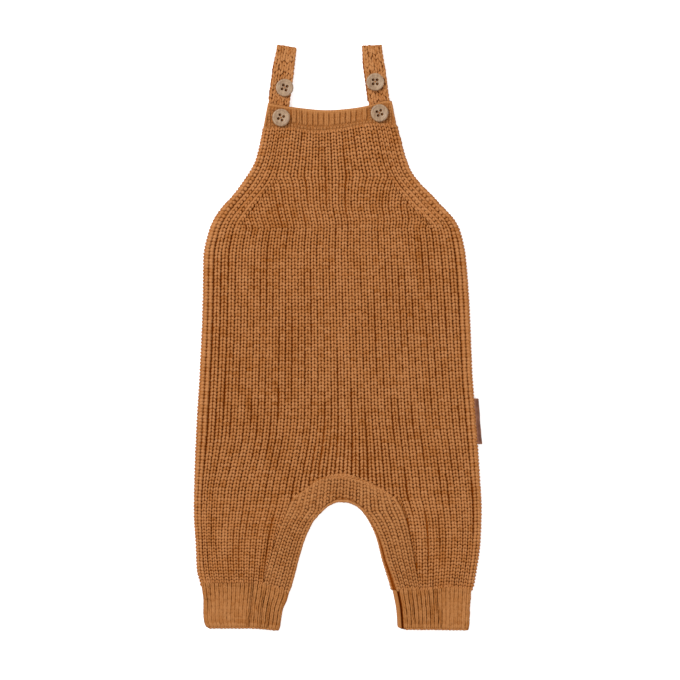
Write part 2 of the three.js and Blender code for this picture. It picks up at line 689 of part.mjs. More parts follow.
function makeGusset() {
  const rightLegRib = GUSSET_RIBS - GUSSET_LEG_RIBS;
  const dense = everyRib(0, GUSSET_RIBS);
  const arcEnds = [
    CROTCH_ARC[0].x + GUSSET_ARC_INSET,
    CROTCH_ARC[CROTCH_ARC.length - 1].x - GUSSET_ARC_INSET,
  ];
  const onArc = (at) => {
    const x = mix(...arcEnds, at / GUSSET_RIBS);
    return { x, y: read(CROTCH_ARC, "x", "y", x) - SEAM_GAP };
  };
  const onCrotch = (at) => {
    const seamLeft = read(GUSSET_SEAMS, "y", "left", CROTCH_SIDE_Y) + SEAM_GAP / 2;
    const seamRight = read(GUSSET_SEAMS, "y", "right", CROTCH_SIDE_Y) - SEAM_GAP / 2;
    const edgeLeft = CROTCH_EDGE[0].x;
    const edgeRight = CROTCH_EDGE[CROTCH_EDGE.length - 1].x;
    if (at <= GUSSET_LEG_RIBS)
      return { x: mix(seamLeft, edgeLeft, at / GUSSET_LEG_RIBS), y: CROTCH_SIDE_Y };
    if (at >= rightLegRib)
      return {
        x: mix(edgeRight, seamRight, (at - rightLegRib) / GUSSET_LEG_RIBS),
        y: CROTCH_SIDE_Y,
      };
    const share = (at - GUSSET_LEG_RIBS) / (rightLegRib - GUSSET_LEG_RIBS);
    const x = mix(edgeLeft, edgeRight, share);
    return { x, y: read(CROTCH_EDGE, "x", "y", x) };
  };
  const whole = { from: 0, to: GUSSET_RIBS, roundLeft: false, roundRight: false };
  const body = GUSSET_BODY_ROWS.map((share) => {
    const place = (at) => {
      const arc = onArc(at);
      const crotch = onCrotch(at);
      return { x: mix(arc.x, crotch.x, share), y: mix(arc.y, crotch.y, share) };
    };
    const under = share === 0 ? dense : GUSSET_UNDER_RIBS;
    const row = frontRow(place, whole, under, GUSSET_RIB_HEIGHT);
    const drop = share === 1 ? EDGE_ROUND : 0;
    const atEdge = (p) => p.at >= GUSSET_LEG_RIBS && p.at <= rightLegRib;
    for (const p of row.top) if (atEdge(p)) p.z -= drop;
    return row;
  });
  const legRow = (share, left) => {
    const ends = left
      ? { from: 0, to: GUSSET_LEG_RIBS, roundLeft: false, roundRight: true }
      : { from: rightLegRib, to: GUSSET_RIBS, roundLeft: true, roundRight: false };
    const place = (at) => {
      const across = (y) => {
        const seam = read(GUSSET_SEAMS, "y", left ? "left" : "right", y);
        const edge = read(INNER_EDGES, "y", left ? "left" : "right", y);
        return left
          ? mix(seam + SEAM_GAP / 2, edge, at / GUSSET_LEG_RIBS)
          : mix(edge, seam - SEAM_GAP / 2, (at - rightLegRib) / GUSSET_LEG_RIBS);
      };
      const y = mix(CROTCH_SIDE_Y, meetCuff(across), share);
      return { x: across(y), y };
    };
    const under = share === 1 ? dense : GUSSET_UNDER_RIBS;
    return frontRow(place, ends, under, GUSSET_RIB_HEIGHT);
  };
  const left = LEG_ROWS.map((share) => legRow(share, true));
  const right = LEG_ROWS.map((share) => legRow(share, false));
  return forkedWall(body, left, right, GUSSET_LEG_RIBS, rightLegRib);
}

// The back panel is plain. Its rib numbers only place its points.
function makeBackPanel() {
  const lastStep = BODY_RIBS - BACK_EDGE_STEP;
  const sparse = [...BACK_RIBS, lastStep, BODY_RIBS];
  const dense = [0, BACK_EDGE_STEP, ...everyRib(1, BODY_RIBS - 1), lastStep, BODY_RIBS];
  const edgeHeight = BACK_WALL / 2;
  const rowOf = (place, from, to, shares) => {
    const top = shares.map((at) => {
      const atEnd = at === from || at === to;
      return { ...place(at), z: atEnd ? edgeHeight : BACK_WALL, at };
    });
    const under = shares
      .filter((at) => at === from || at === to || Number.isInteger(at))
      .map((at) => {
        const nudge = (at === from ? 1 : 0) - (at === to ? 1 : 0);
        const p = place(at);
        return { x: p.x + nudge * EDGE_ROUND, y: p.y, z: 0, at };
      });
    return { top, under };
  };
  const spread = (from, to, at, low, high) => mix(from, to, (at - low) / (high - low));
  const bodyHeights = [NECK_SEAM_Y];
  for (let y = BACK_ROWS.headY; y > BACK_ROWS.footY; y -= BACK_ROWS.step) bodyHeights.push(y);
  bodyHeights.push(CROTCH_SIDE_Y);
  const body = bodyHeights.map((height) => {
    const left = read(SIDES, "y", "left", height) + BACK_INSET;
    const right = read(SIDES, "y", "right", height) - BACK_INSET;
    const flare = ease(LEG_FLARE_Y, CROTCH_SIDE_Y, height);
    const innerLeft = mix(
      spread(left, right, LEFT_LEG_RIBS, 0, BODY_RIBS),
      CROTCH_EDGE[0].x,
      flare,
    );
    const innerRight = mix(
      spread(left, right, RIGHT_LEG_FIRST_RIB, 0, BODY_RIBS),
      CROTCH_EDGE[CROTCH_EDGE.length - 1].x - BACK_RIGHT_LEG_INSET,
      flare,
    );
    const place = (at) => {
      const x =
        at <= LEFT_LEG_RIBS
          ? spread(left, innerLeft, at, 0, LEFT_LEG_RIBS)
          : at >= RIGHT_LEG_FIRST_RIB
            ? spread(innerRight, right, at, RIGHT_LEG_FIRST_RIB, BODY_RIBS)
            : spread(innerLeft, innerRight, at, LEFT_LEG_RIBS, RIGHT_LEG_FIRST_RIB);
      const neck = neckShift(x, height);
      const crotch = Math.max(0, read(CROTCH_EDGE, "x", "y", x) - CROTCH_SIDE_Y);
      const shift = crotch * ease(CROTCH_SHIFT_Y.back, CROTCH_SIDE_Y, height);
      return { x, y: height + neck + shift };
    };
    const atSeam = height === NECK_SEAM_Y || height === CROTCH_SIDE_Y;
    return rowOf(place, 0, BODY_RIBS, atSeam ? dense : sparse);
  });
  const legRow = (share, isLeft) => {
    const [from, to] = isLeft ? [0, LEFT_LEG_RIBS] : [RIGHT_LEG_FIRST_RIB, BODY_RIBS];
    const shares = (share === 1 ? dense : sparse).filter((at) => at >= from && at <= to);
    const softEdge = isLeft ? to - BACK_EDGE_STEP : from + BACK_EDGE_STEP;
    shares.splice(isLeft ? shares.length - 1 : 1, 0, softEdge);
    const place = (at) => {
      const across = (y) => {
        const side = read(SIDES, "y", isLeft ? "left" : "right", y);
        const outer = isLeft ? side + BACK_INSET : side - BACK_INSET;
        const inner = read(INNER_EDGES, "y", isLeft ? "left" : "rightBack", y) - BACK_INSET;
        return isLeft ? spread(outer, inner, at, from, to) : spread(inner, outer, at, from, to);
      };
      const y = mix(CROTCH_SIDE_Y, meetCuff(across), share);
      return { x: across(y), y };
    };
    return rowOf(place, from, to, shares);
  };
  const left = BACK_LEG_ROWS.map((share) => legRow(share, true));
  const right = BACK_LEG_ROWS.map((share) => legRow(share, false));
  return forkedWall(body, left, right, LEFT_LEG_RIBS, RIGHT_LEG_FIRST_RIB);
}

// A neckband between the neck seam and the top edge; the front one is ribbed and lies over the straps.
function makeNeckband(front) {
  const rise = front ? 0 : BACK_BAND_RISE;
  const shorter = front ? 0 : BACK_BAND_SHORTER;
  const seamEnds = [BAND_SEAM_ENDS[0] + shorter, BAND_SEAM_ENDS[1] - shorter];
  const topEnds = [BAND_TOP_ENDS[0] + shorter, BAND_TOP_ENDS[1] - shorter];
  const spans = front ? 2 * BAND_RIBS : BACK_BAND_SPANS;
  const middle = [];
  for (let k = 1; k < spans; k += 1) middle.push({ share: k / spans, rib: front ? k / 2 : 0 });
  const floor = (x, y) => (front ? BAND_WALL + SEAM_GAP + cornerLift(x, y) : 0);
  const wall = new Wall();
  const rows = BAND_ROWS.map((row) => {
    const left = mix(seamEnds[0], topEnds[0], row.share);
    const right = mix(seamEnds[1], topEnds[1], row.share);
    const stations = [
      ...BAND_LEFT_END_SHARES.map((s) => ({ x: mix(left, BAND_RIBS_LEFT, s), rib: 0, at: s })),
      ...middle.map((s) => ({
        x: mix(BAND_RIBS_LEFT, BAND_RIBS_RIGHT, s.share),
        rib: s.rib,
        at: 1 + s.share,
      })),
      ...BAND_RIGHT_END_SHARES.map((s) => ({
        x: mix(BAND_RIBS_RIGHT, right, s),
        rib: 0,
        at: 2 + s,
      })),
    ];
    const yAt = (x) => {
      const foot = read(NECK_SEAM, "x", "y", x);
      return mix(foot, read(NECK_TOP, "x", "y", x) + rise, row.share);
    };
    const last = stations.length - 1;
    const top = stations.map((s, k) => {
      const y = yAt(s.x);
      const rib = s.rib ? BAND_RIB_HEIGHT * (ribWave(s.rib) - 0.5) * row.ribbed : 0;
      const edge = k === 0 || k === last ? EDGE_ROUND : 0;
      const turned = front ? row.drop : row.backDrop;
      return { x: s.x, y, z: floor(s.x, y) + BAND_WALL + rib - turned - edge, at: s.at };
    });
    const under = stations
      .filter((s, k) => k === 0 || k === last || !front || k % 2 === 0)
      .map((s) => {
        const y = yAt(s.x);
        return { x: s.x, y, z: floor(s.x, y), at: s.at };
      });
    return wall.row(top, under);
  });
  wall.joinAll(rows);
  wall.closeHead(rows[0]);
  wall.closeFoot(rows[rows.length - 1]);
  return wall.geometry();
}

// A strap starts at the back neckband, runs up on the surface, folds over and ends behind the bib.
function makeStrap(strap) {
  const lean = (strap.xEnd - strap.xFold) / (STRAP_END_Y - strap.yFold);
  const foldRadius = STRAP_WALL + SEAM_GAP / 2;
  const foldY = strap.yFold - foldRadius;
  const steps = 2 * STRAP_COLUMNS;
  const stations = [0];
  for (let k = 1; k < steps; k += 1) stations.push(k / 2);
  stations.push(STRAP_COLUMNS);
  const path = [];
  for (const share of STRAP_BACK_ROWS) path.push({ share, back: true });
  for (let k = 0; k <= FOLD_STEPS; k += 1) path.push({ angle: Math.PI * (k / FOLD_STEPS - 0.5) });
  for (const share of STRAP_FRONT_ROWS) path.push({ share, back: false });
  const backFoot = (across) => {
    const top = read(NECK_TOP, "x", "y", strap.xEnd + strap.backShift + across);
    return top + BACK_BAND_RISE + 2 * SEAM_GAP;
  };
  const place = (step, at, radius) => {
    const across = (at / STRAP_COLUMNS - 0.5) * STRAP_WIDTH;
    const angle = step.angle ?? (step.back ? -Math.PI / 2 : Math.PI / 2);
    const turned = (angle + Math.PI / 2) / Math.PI;
    const slant = strap.foldSlope * across;
    const shift = mix(strap.backShift, 0, turned);
    let y = foldY + slant;
    if (step.share !== undefined) {
      y = mix(step.back ? backFoot(across) : STRAP_END_Y, foldY + slant, step.share);
    }
    const x = strap.xFold + lean * (y - strap.yFold) + across + shift;
    return {
      x,
      y: y + radius * Math.cos(angle),
      z: foldRadius + radius * Math.sin(angle),
      at,
    };
  };
  const wall = new Wall();
  const rows = path.map((step) => {
    const top = stations.map((at) => {
      const edge = at === 0 || at === STRAP_COLUMNS ? EDGE_ROUND : 0;
      const flat = step.back || step.angle < PLAIN_BELOW_ANGLE;
      const { y } = place(step, at, foldRadius);
      const shown = flat ? 0 : ease(STRAP_RIBS_FADE.from, STRAP_RIBS_FADE.to, y);
      const ribs = STRAP_RIB_HEIGHT * (ribWave(at) + 0.5) * shown;
      return place(step, at, foldRadius - edge + ribs);
    });
    const atBand = step.back && step.share === 0;
    const underStations = everyRib(0, STRAP_COLUMNS).filter((at) => atBand || at % 2 === 0);
    const under = underStations.map((at) => place(step, at, SEAM_GAP / 2));
    return wall.row(top, under);
  });
  wall.joinAll(rows);
  wall.closeHead(rows[0]);
  wall.closeFoot(rows[rows.length - 1]);
  return wall.geometry();
}

// A cuff is a flattened open tube: ribbed above, plain below, with a slit between its two walls.
function makeCuff(cuff) {
  const top = BACK_WALL + SEAM_GAP + FRONT_WALL;
  const middle = BACK_WALL;
  const first = cuff.rows[0];
  const last = cuff.rows[cuff.rows.length - 1];
  const ribs = Math.round((first.right - first.left - cuff.step) / CUFF_RIB_PITCH);
  const wall = new Wall();
  const rows = cuff.rows.map((row, k) => {
    const down = k / (cuff.rows.length - 1);
    const yAt = (x) => {
      const seam = read(CUFF_SEAM, "x", "y", x);
      const hem = read(cuff.hem, "x", "y", x);
      return mix(seam, hem, (row.y - first.y) / (last.y - first.y));
    };
    const start = row.left + cuff.step;
    const spot = (x, z, at) => ({ x, y: yAt(x), z, at });
    const outer = [spot(row.left, middle / 2, -2)];
    if (cuff.step) {
      for (const p of CUFF_STEP_POINTS) {
        const x = p.fromEdge === undefined ? start + p.fromStart : row.left + p.fromEdge;
        outer.push(spot(x, middle * p.height, p.at));
      }
    }
    outer.push(spot(start + CUFF_CORNER, top - EDGE_ROUND, -0.5));
    for (let half = 1; half < 2 * ribs; half += 1) {
      const x = mix(start, row.right, half / (2 * ribs));
      const y = yAt(x);
      const fade = ease(0, CUFF_RIBS_START, down) * ease(1, CUFF_HEM.ribsEnd, down);
      const rib = CUFF_RIB_HEIGHT * ribWave(half / 2) * mix(CUFF_RIBS_AT_ENDS, 1, fade);
      const hemDrop = CUFF_HEM.drop * ease(CUFF_HEM.turnsDown, 1, down);
      outer.push(spot(x, top + rib - creaseDepth(x, y) - hemDrop, half / 2));
    }
    outer.push(spot(row.right - CUFF_CORNER, top - EDGE_ROUND, ribs - 0.1));
    outer.push(spot(row.right, middle / 2, ribs));
    const spans = k === 0 ? CUFF_SPANS.atSeam : CUFF_SPANS.below;
    const layer = (from, to, z) => {
      const points = [spot(from, z, -2)];
      for (let n = 1; n < spans; n += 1) {
        points.push(spot(mix(start, row.right, n / spans), z, (ribs * n) / spans));
      }
      points.push(spot(to, z, ribs));
      return points;
    };
    const under = layer(row.left + EDGE_ROUND, row.right - EDGE_ROUND, 0);
    const slit = (z) => layer(start + CUFF_SLIT_MARGIN, row.right - CUFF_SLIT_MARGIN, z);
    const ceiling = slit(middle + CUFF_SLIT);
    const floor = slit(middle);
    return {
      outer: wall.row(outer, under),
      inner: wall.row(ceiling, floor),
    };
  });
  wall.joinAll(rows.map((r) => r.outer));
  for (let k = 0; k < rows.length - 1; k += 1) {
    const above = rows[k].inner;
    const below = rows[k + 1].inner;
    wall.zip(above.top, below.top, true);
    wall.zip(above.under, below.under);
    for (const right of [false, true]) {
      const end = (chain) => (right ? chain[chain.length - 1] : chain[0]);
      wall.face(end(above.top), end(above.under), end(below.top), !right);
      wall.face(end(above.under), end(below.under), end(below.top), !right);
    }
  }
  for (const [row, foot] of [
    [rows[0], false],
    [rows[rows.length - 1], true],
  ]) {
    const { outer, inner } = row;
    const end = (chain) => chain[chain.length - 1];
    wall.zip(inner.top, outer.top, foot);
    wall.zip(outer.under, inner.under, foot);
    wall.face(outer.under[0], outer.top[0], inner.under[0], foot);
    wall.face(inner.under[0], outer.top[0], inner.top[0], foot);
    wall.face(end(inner.under), end(inner.top), end(outer.under), foot);
    wall.face(end(outer.under), end(inner.top), end(outer.top), foot);
  }
  return wall.geometry();
}

function toManifold(geometry) {
  const bare = geometry.clone();
  bare.deleteAttribute("normal");
  bare.deleteAttribute("uv");
  const merged = mergeVertices(bare, 1e-4);
  return new wasm.Manifold(
    new wasm.Mesh({
      numProp: 3,
      vertProperties: new Float32Array(merged.attributes.position.array),
      triVerts: new Uint32Array(merged.index.array),
    }),
  );
}

function toGeometry(solid) {
  const mesh = solid.getMesh();
  const made = new THREE.BufferGeometry();
  made.setAttribute("position", new THREE.BufferAttribute(mesh.vertProperties, mesh.numProp));
  made.setIndex(new THREE.BufferAttribute(mesh.triVerts, 1));
  return made;
}

// A button turned about its own axis: flat below, with a raised rim, a ring groove and a dished middle.
function makeButton() {
  const b = BUTTON;
  const profile = [
    [0, 0],
    [b.radius - b.bevelBelow.inset, 0],
    [b.radius, b.bevelBelow.height],
    [b.radius, b.height - b.shoulder],
    [b.rimTop, b.height],
    [b.rimInner, b.height],
    [b.groove, b.height - b.grooveDepth],
    [b.dish, b.height - b.dishDepth],
    [0, b.height - b.dishDepth],
  ].map(([radius, z]) => new THREE.Vector2(radius, z));
  const turned = new THREE.LatheGeometry(profile, b.sides);
  turned.rotateX(Math.PI / 2);
  let solid = toManifold(turned);
  for (const sideX of [-1, 1]) {
    for (const sideY of [-1, 1]) {
      const through = 3 * b.height;
      const hole = new THREE.CylinderGeometry(b.holeRadius, b.holeRadius, through, b.holeSides);
      hole.rotateX(Math.PI / 2);
      hole.translate((sideX * b.holeSpacing) / 2, (sideY * b.holeSpacing) / 2, 0);
      solid = solid.subtract(toManifold(hole));
    }
  }
  return toGeometry(solid);
}

// The label is a strip of leather folded once, with its fold outwards and its ends in the side seam.
function makeLabel() {
  const half = LABEL.leather + LABEL.inside / 2;
  const section = (y) => {
    const edge = read(SIDES, "y", "right", y) + LABEL.clear;
    const tip = edge + LABEL.reach;
    const innerTip = tip - LABEL.leather - LABEL.innerBend;
    return [
      [edge, half],
      [tip - LABEL.bend, half],
      [tip - LABEL.bendTip, half * LABEL.bendHeight],
      [tip, 0],
      [tip - LABEL.bendTip, -half * LABEL.bendHeight],
      [tip - LABEL.bend, -half],
      [edge, -half],
      [edge, -LABEL.inside / 2],
      [innerTip, -LABEL.inside / 2],
      [innerTip, LABEL.inside / 2],
      [edge, LABEL.inside / 2],
    ].map(([x, z]) => new THREE.Vector3(x, y, BACK_WALL + z));
  };
  const rings = [0, 0.5, 1].map((share) => section(mix(LABEL.yTop, LABEL.yFoot, share)));
  const count = rings[0].length;
  const points = rings.flat().flatMap((p) => [p.x, p.y, p.z]);
  const faces = [];
  for (let k = 0; k < rings.length - 1; k += 1) {
    for (let i = 0; i < count; i += 1) {
      const a = k * count + i;
      const b = k * count + ((i + 1) % count);
      faces.push(a, a + count, b, b, a + count, b + count);
    }
  }
  const outline = rings[0].map((p) => new THREE.Vector2(p.x, p.z));
  const foot = (rings.length - 1) * count;
  for (const [a, b, c] of THREE.ShapeUtils.triangulateShape(outline, [])) {
    faces.push(a, c, b);
    faces.push(foot + a, foot + b, foot + c);
  }
  const made = new THREE.BufferGeometry();
  made.setAttribute("position", new THREE.Float32BufferAttribute(points, 3));
  made.setIndex(faces);
  return made;
}

function piece(name, geometry, look) {
  const material = new THREE.MeshStandardMaterial({ metalness: 0, ...look });
  const mesh = new THREE.Mesh(geometry, material);
  mesh.name = name;
  return mesh;
}

const KNIT = { color: "#c4824e", roughness: 0.95 };
const GUSSET_KNIT = { color: "#cb8a57", roughness: 0.95 };
const BAND_KNIT = { color: "#bf7c48", roughness: 0.93 };
const HORN = { color: "#c4a684", roughness: 0.45 };
const LEATHER = { color: "#8b5e4b", roughness: 0.6 };

const dungarees = new THREE.Group();
dungarees.add(piece("back_panel", makeBackPanel(), KNIT));
dungarees.add(piece("front_panel", makeFrontPanel(), KNIT));
dungarees.add(piece("crotch_gusset", makeGusset(), GUSSET_KNIT));
dungarees.add(piece("neckband_front", makeNeckband(true), BAND_KNIT));
dungarees.add(piece("neckband_back", makeNeckband(false), BAND_KNIT));
for (const strap of STRAPS) dungarees.add(piece(strap.name, makeStrap(strap), BAND_KNIT));
for (const cuff of CUFFS) dungarees.add(piece(cuff.name, makeCuff(cuff), BAND_KNIT));
for (const button of BUTTONS) {
  const seat =
    button.on === "strap"
      ? 2 * STRAP_WALL + SEAM_GAP + STRAP_RIB_HEIGHT
      : 2 * BAND_WALL + CORNER_LIFT + SEAM_GAP;
  const mesh = piece(button.name, makeButton(), HORN);
  mesh.position.set(button.x, button.y, seat + SEAM_GAP);
  mesh.rotation.z = THREE.MathUtils.degToRad(button.turn);
  dungarees.add(mesh);
}
dungarees.add(piece("side_label", makeLabel(), LEATHER));

export default dungarees;
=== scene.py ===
"""Knitted baby dungarees laid flat on their back, in caramel cotton.

Lengths in the tables and functions are millimetres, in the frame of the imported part: X to the right,
Y towards the shoulder straps, Z up from the surface that the garment lies on. A mesh is turned to metres
when it is made.
The knitting is real: each stitch of the rib is two strands of yarn over a thin ground of cloth.
"""

import math

import bpy
import numpy as np
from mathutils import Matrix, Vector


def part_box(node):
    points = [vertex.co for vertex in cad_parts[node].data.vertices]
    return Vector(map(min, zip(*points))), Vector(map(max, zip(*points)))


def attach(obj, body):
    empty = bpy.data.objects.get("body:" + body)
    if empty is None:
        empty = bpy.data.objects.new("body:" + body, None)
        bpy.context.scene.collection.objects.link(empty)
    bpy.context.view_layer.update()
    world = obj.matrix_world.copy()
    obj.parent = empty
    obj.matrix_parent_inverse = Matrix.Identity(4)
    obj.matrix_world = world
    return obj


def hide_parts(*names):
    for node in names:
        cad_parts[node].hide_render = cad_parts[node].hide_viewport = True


bl_info = {
    "name": "Knitted dungarees",
    "version": (1, 0, 0),
    "blender": (4, 5, 0),
    "location": "View3D > Sidebar > Dungarees",
    "description": "Knits a pair of baby dungarees over their packed solids",
    "category": "Add Mesh",
}

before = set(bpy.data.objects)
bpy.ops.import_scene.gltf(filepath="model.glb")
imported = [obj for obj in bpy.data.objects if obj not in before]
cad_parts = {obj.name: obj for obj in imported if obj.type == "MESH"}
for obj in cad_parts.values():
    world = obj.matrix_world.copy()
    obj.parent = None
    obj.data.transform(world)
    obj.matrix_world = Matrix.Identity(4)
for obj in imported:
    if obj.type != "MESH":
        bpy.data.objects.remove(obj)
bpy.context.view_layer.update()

MM = 0.001
BODY = "root"

# Thicknesses, and the air between layers
SEAM_GAP = 0.3
TOUCH = 0.05
BACK_WALL = 2.6
FRONT_WALL = 2.4
BAND_WALL = 2.5
STRAP_WALL = 2.5
FRONT_FLOOR = BACK_WALL + SEAM_GAP
BODY_LOFT = 1.3
LEG_LOFT = 1.9
ABOVE_FLOOR = 0.02
UNDERSIDE_SINK = 0.3

# Ribs: on the whole front, beside each edge, ended at the armholes, in the legs, ended at the inner legs
BODY_RIBS = 40
EDGE_RIBS = 4
UPRIGHT_RIBS = BODY_RIBS - 2 * EDGE_RIBS
ENDED_AT_ARMHOLE = 8
LEFT_LEG_RIBS = 15.2
RIGHT_LEG_FIRST_RIB = 27.3
MIDDLE_RIB = 21
BACK_FORK_RIBS = (15, 27)
ENDED_AT_INNER_LEG = 2.2
LEG_ENDING_BEND = 1.3
SIDE_COLUMN_SHARE = 0.32

# Heights along the garment
NECK_SEAM_Y = 175
NECK_SHIFT_REACH = 35
ARMHOLE_LINE = (94, 137)
LEG_FLARE_Y = -60
FLARE_BEND = 1.7
FORK_Y = -135
CROTCH_SIDE_Y = -147.5
CROTCH_SHIFT_Y = 20
FIRST_LEG_ROW_SHARE = 0.17
LEG_SPAN = 66.5
FOOT_Y = CROTCH_SIDE_Y - LEG_SPAN


def table(names, rows):
    """A small table with named columns, its rows in the order of the first one."""
    return dict(zip(names.split(), np.array(sorted(rows), float).T))


# The outline, the edge ribs' inner borders and the seams, each at a few heights y or places x
SIDES = table(
    "y left right",
    [
        (181, -62.6, 49.2), (171.3, -64.2, 52.3), (150.9, -69.3, 58.2), (140.7, -74.4, 62.5),
        (130.5, -81.2, 70.1), (120.3, -88.8, 80.3), (110.1, -98.2, 89.7), (99.9, -105, 99),
        (89.7, -109.2, 104.1), (69.3, -113.5, 108.4), (28.5, -114.3, 111.6), (-32.7, -116.9, 114.3),
        (-73.5, -119.4, 117.5), (-114.3, -121.1, 120.3), (-147.5, -121.8, 122), (-173, -120.3, 121.1),
        (-198.5, -119, 117.8), (-208.7, -116.4, 116), (-220, -115, 113.9),
    ],
)
RIB_BORDERS = table(
    "y left right",
    [
        (181, -43.5, 31), (137.3, -52.3, 43.4), (113.5, -69.3, 61), (93.9, -82, 79.5),
        (69.3, -86.3, 82.5), (8.1, -87.6, 86.4), (-53.1, -89.9, 90.8), (-80, -91.4, 93.2),
        (-94, -93.6, 95.2), (-110, -97, 97.2), (-134.7, -101.8, 100), (-173, -103.4, 102.2),
        (-208, -100.4, 99.4), (-220, -99.6, 98.2),
    ],
)
GUSSET_SEAMS = table(
    "y left right",
    [
        (-110, -37.8, 49.5), (-136, -37.8, 49.5), (-147.5, -42.8, 56.0), (-160.2, -48.3, 59.9),
        (-173, -52.8, 62.6), (-190, -57.8, 65.6), (-220, -66, 71),
    ],
)
INNER_EDGES = table(
    "y left right right_back",
    [
        (-139.8, 1.3, 1.3, 1.3), (-143.2, -8.1, 16.2, 15.4), (-147.5, -13.2, 21.7, 20.9),
        (-156, -20.8, 28.8, 26.8), (-164.5, -25.1, 33.4, 31.2), (-173, -28.5, 37, 34.2),
        (-190, -33.6, 42, 38.5), (-204.4, -37.4, 47.2, 43), (-220, -42, 52.2, 47.6),
    ],
)
NECK_SEAM = table(
    "x y",
    [(-64, 175.5), (-41, 176.4), (-21, 173.4), (3, 175.5), (20, 178.8), (35, 180), (51, 178)],
)
NECK_TOP = table(
    "x y",
    [
        (-59.1, 199.4), (-40.4, 196), (-8.1, 193.1), (12.3, 194.6), (26.8, 197.2), (42, 201.2),
        (46.2, 201),
    ],
)
CROTCH_ARC = table(
    "x y",
    [
        (-37.8, -135.2), (-32.7, -133), (-22.9, -125.9), (-14, -119.6), (3, -116.5), (16.2, -119.2),
        (29.3, -124.7), (49.5, -136.4),
    ],
)
CROTCH_EDGE = table(
    "x y",
    [
        (-13.2, -147.5), (-8.1, -143.2), (1.3, -139.8), (8, -140), (16.2, -143.2), (21.7, -147.5),
    ],
)
CUFF_SEAM = table(
    "x y",
    [
        (-116.4, -208.7), (-80.3, -208.4), (-62, -211), (-41, -218.4), (-34, -221), (46, -215),
        (74, -215.2), (95.2, -212.6), (114.2, -215),
    ],
)

# Deep valleys pressed between ribs: the two ends, half width and depth
CREASES = [
    (-71.1, -204, -75.6, -249, 2.2, 1.6),
    (-62.6, -216, -65.5, -248, 2.0, 1.3),
    (-57.5, -214, -60, -248, 2.0, 1.2),
    (-108.5, -212, -111.5, -242, 1.8, 0.9),
    (81, -208, 88.5, -246, 2.2, 1.4),
    (76, -210, 81, -236, 1.8, 0.9),
    (61, -214, 66, -240, 2.0, 1.0),
    (53.8, -133, 69.3, -206, 3, 1),
    (84.6, -155, 90.5, -194, 2.6, 0.8),
    (-83, -43, -69.3, -70, 5, 0.8),
    (-58, -168, -66, -205, 3, 0.8),
]
CREASE_FADE = 0.15

# Soft rises of the cloth where it lies loosely: the two ends, half width and height
FOLDS = [
    (-108, -196, -72, -199, 6, 0.7),
    (-70, -188, -50, -196, 5, 0.6),
    (76, -203, 110, -201, 5, 0.8),
    (84, -191, 112, -188, 4.5, 0.6),
    (62, -178, 74, -204, 5, 0.6),
    (-98, -150, -66, -176, 9, 0.5),
    (70, -150, 104, -170, 9, 0.5),
    (-60, -60, -30, -112, 12, 0.6),
    (52, -64, 34, -108, 12, 0.6),
    (-96, 60, -92, -40, 9, 0.5),
    (84, 70, 92, -20, 9, 0.45),
    (-20, 120, 8, 40, 16, 0.35),
]


def mix(a, b, share):
    """From a at share 0 to b at share 1, in a straight line."""
    return a + (b - a) * share


def ease(a, b, at):
    """From 0 where at is a to 1 where it is b, with level ends."""
    share = np.clip((at - a) / (b - a), 0, 1)
    return share * share * (3 - 2 * share)


def read(rows, column, at):
    """The column where the table's first column is at: a cubic between rows, whose slope at a row is the
    harmonic mean of the slopes beside it, so that it never overshoots."""
    x, y = next(iter(rows.values())), rows[column]
    slope = np.diff(y) / np.diff(x)
    product, total = slope[1:] * slope[:-1], slope[1:] + slope[:-1]
    inner = np.where(product > 0, 2 * product / np.where(total == 0, 1, total), 0)
    tangent = np.concatenate([slope[:1], inner, slope[-1:]])
    at = np.clip(at, x[0], x[-1])
    i = np.clip(np.searchsorted(x, at, side="right") - 1, 0, len(x) - 2)
    width = x[i + 1] - x[i]
    t = (at - x[i]) / width
    line = mix(y[i], y[i + 1], t * t * (3 - 2 * t))
    return line + width * t * (1 - t) * ((1 - t) * tangent[i] - t * tangent[i + 1])


def drift(x, y, size):
    """A slow unevenness between -1 and 1: three crossed waves about size millimetres long."""
    a, b = x * 2 * np.pi / size, y * 2 * np.pi / size
    waves = np.sin(a + 0.6 * b + 1.3) + np.sin(1.7 * b - 0.5 * a + 4.1) + np.sin(0.8 * a - 1.2 * b + 2.2)
    return waves / 3


def along_line(x, y, line):
    """The share of the way along a line, and the distance from it, of each point."""
    x0, y0, x1, y1 = line
    dx, dy = x1 - x0, y1 - y0
    length = math.hypot(dx, dy)
    share = ((x - x0) * dx + (y - y0) * dy) / length**2
    return share, np.abs((x - x0) * dy - (y - y0) * dx) / length


def crease_depth(x, y):
    """How deep the pressed valleys are: a V across each line, fading at its ends."""
    depth = np.zeros(np.broadcast(x, y).shape)
    for *line, half, deep in CREASES:
        share, off = along_line(x, y, line)
        ends = ease(-CREASE_FADE, CREASE_FADE, share) * ease(1 + CREASE_FADE, 1 - CREASE_FADE, share)
        depth = np.maximum(depth, deep * ends * np.maximum(0, 1 - off / half))
    return depth


def fold_height(x, y):
    """How far the cloth rises loosely: a bell across each line, fading at its ends."""
    height = np.zeros(np.broadcast(x, y).shape)
    for *line, half, high in FOLDS:
        share, off = along_line(x, y, line)
        ends = ease(-0.3, 0.25, share) * ease(1.3, 0.75, share)
        height = height + high * ends * np.exp(-((off / half) ** 2))
    return height


def corner_lift(x, y):
    """How far the bib corners are lifted by the straps below them."""
    beside = np.maximum(ease(-28, -38.5, x), ease(14, 24.5, x))
    return (STRAP_WALL + SEAM_GAP) * beside * ease(148, 172, y)


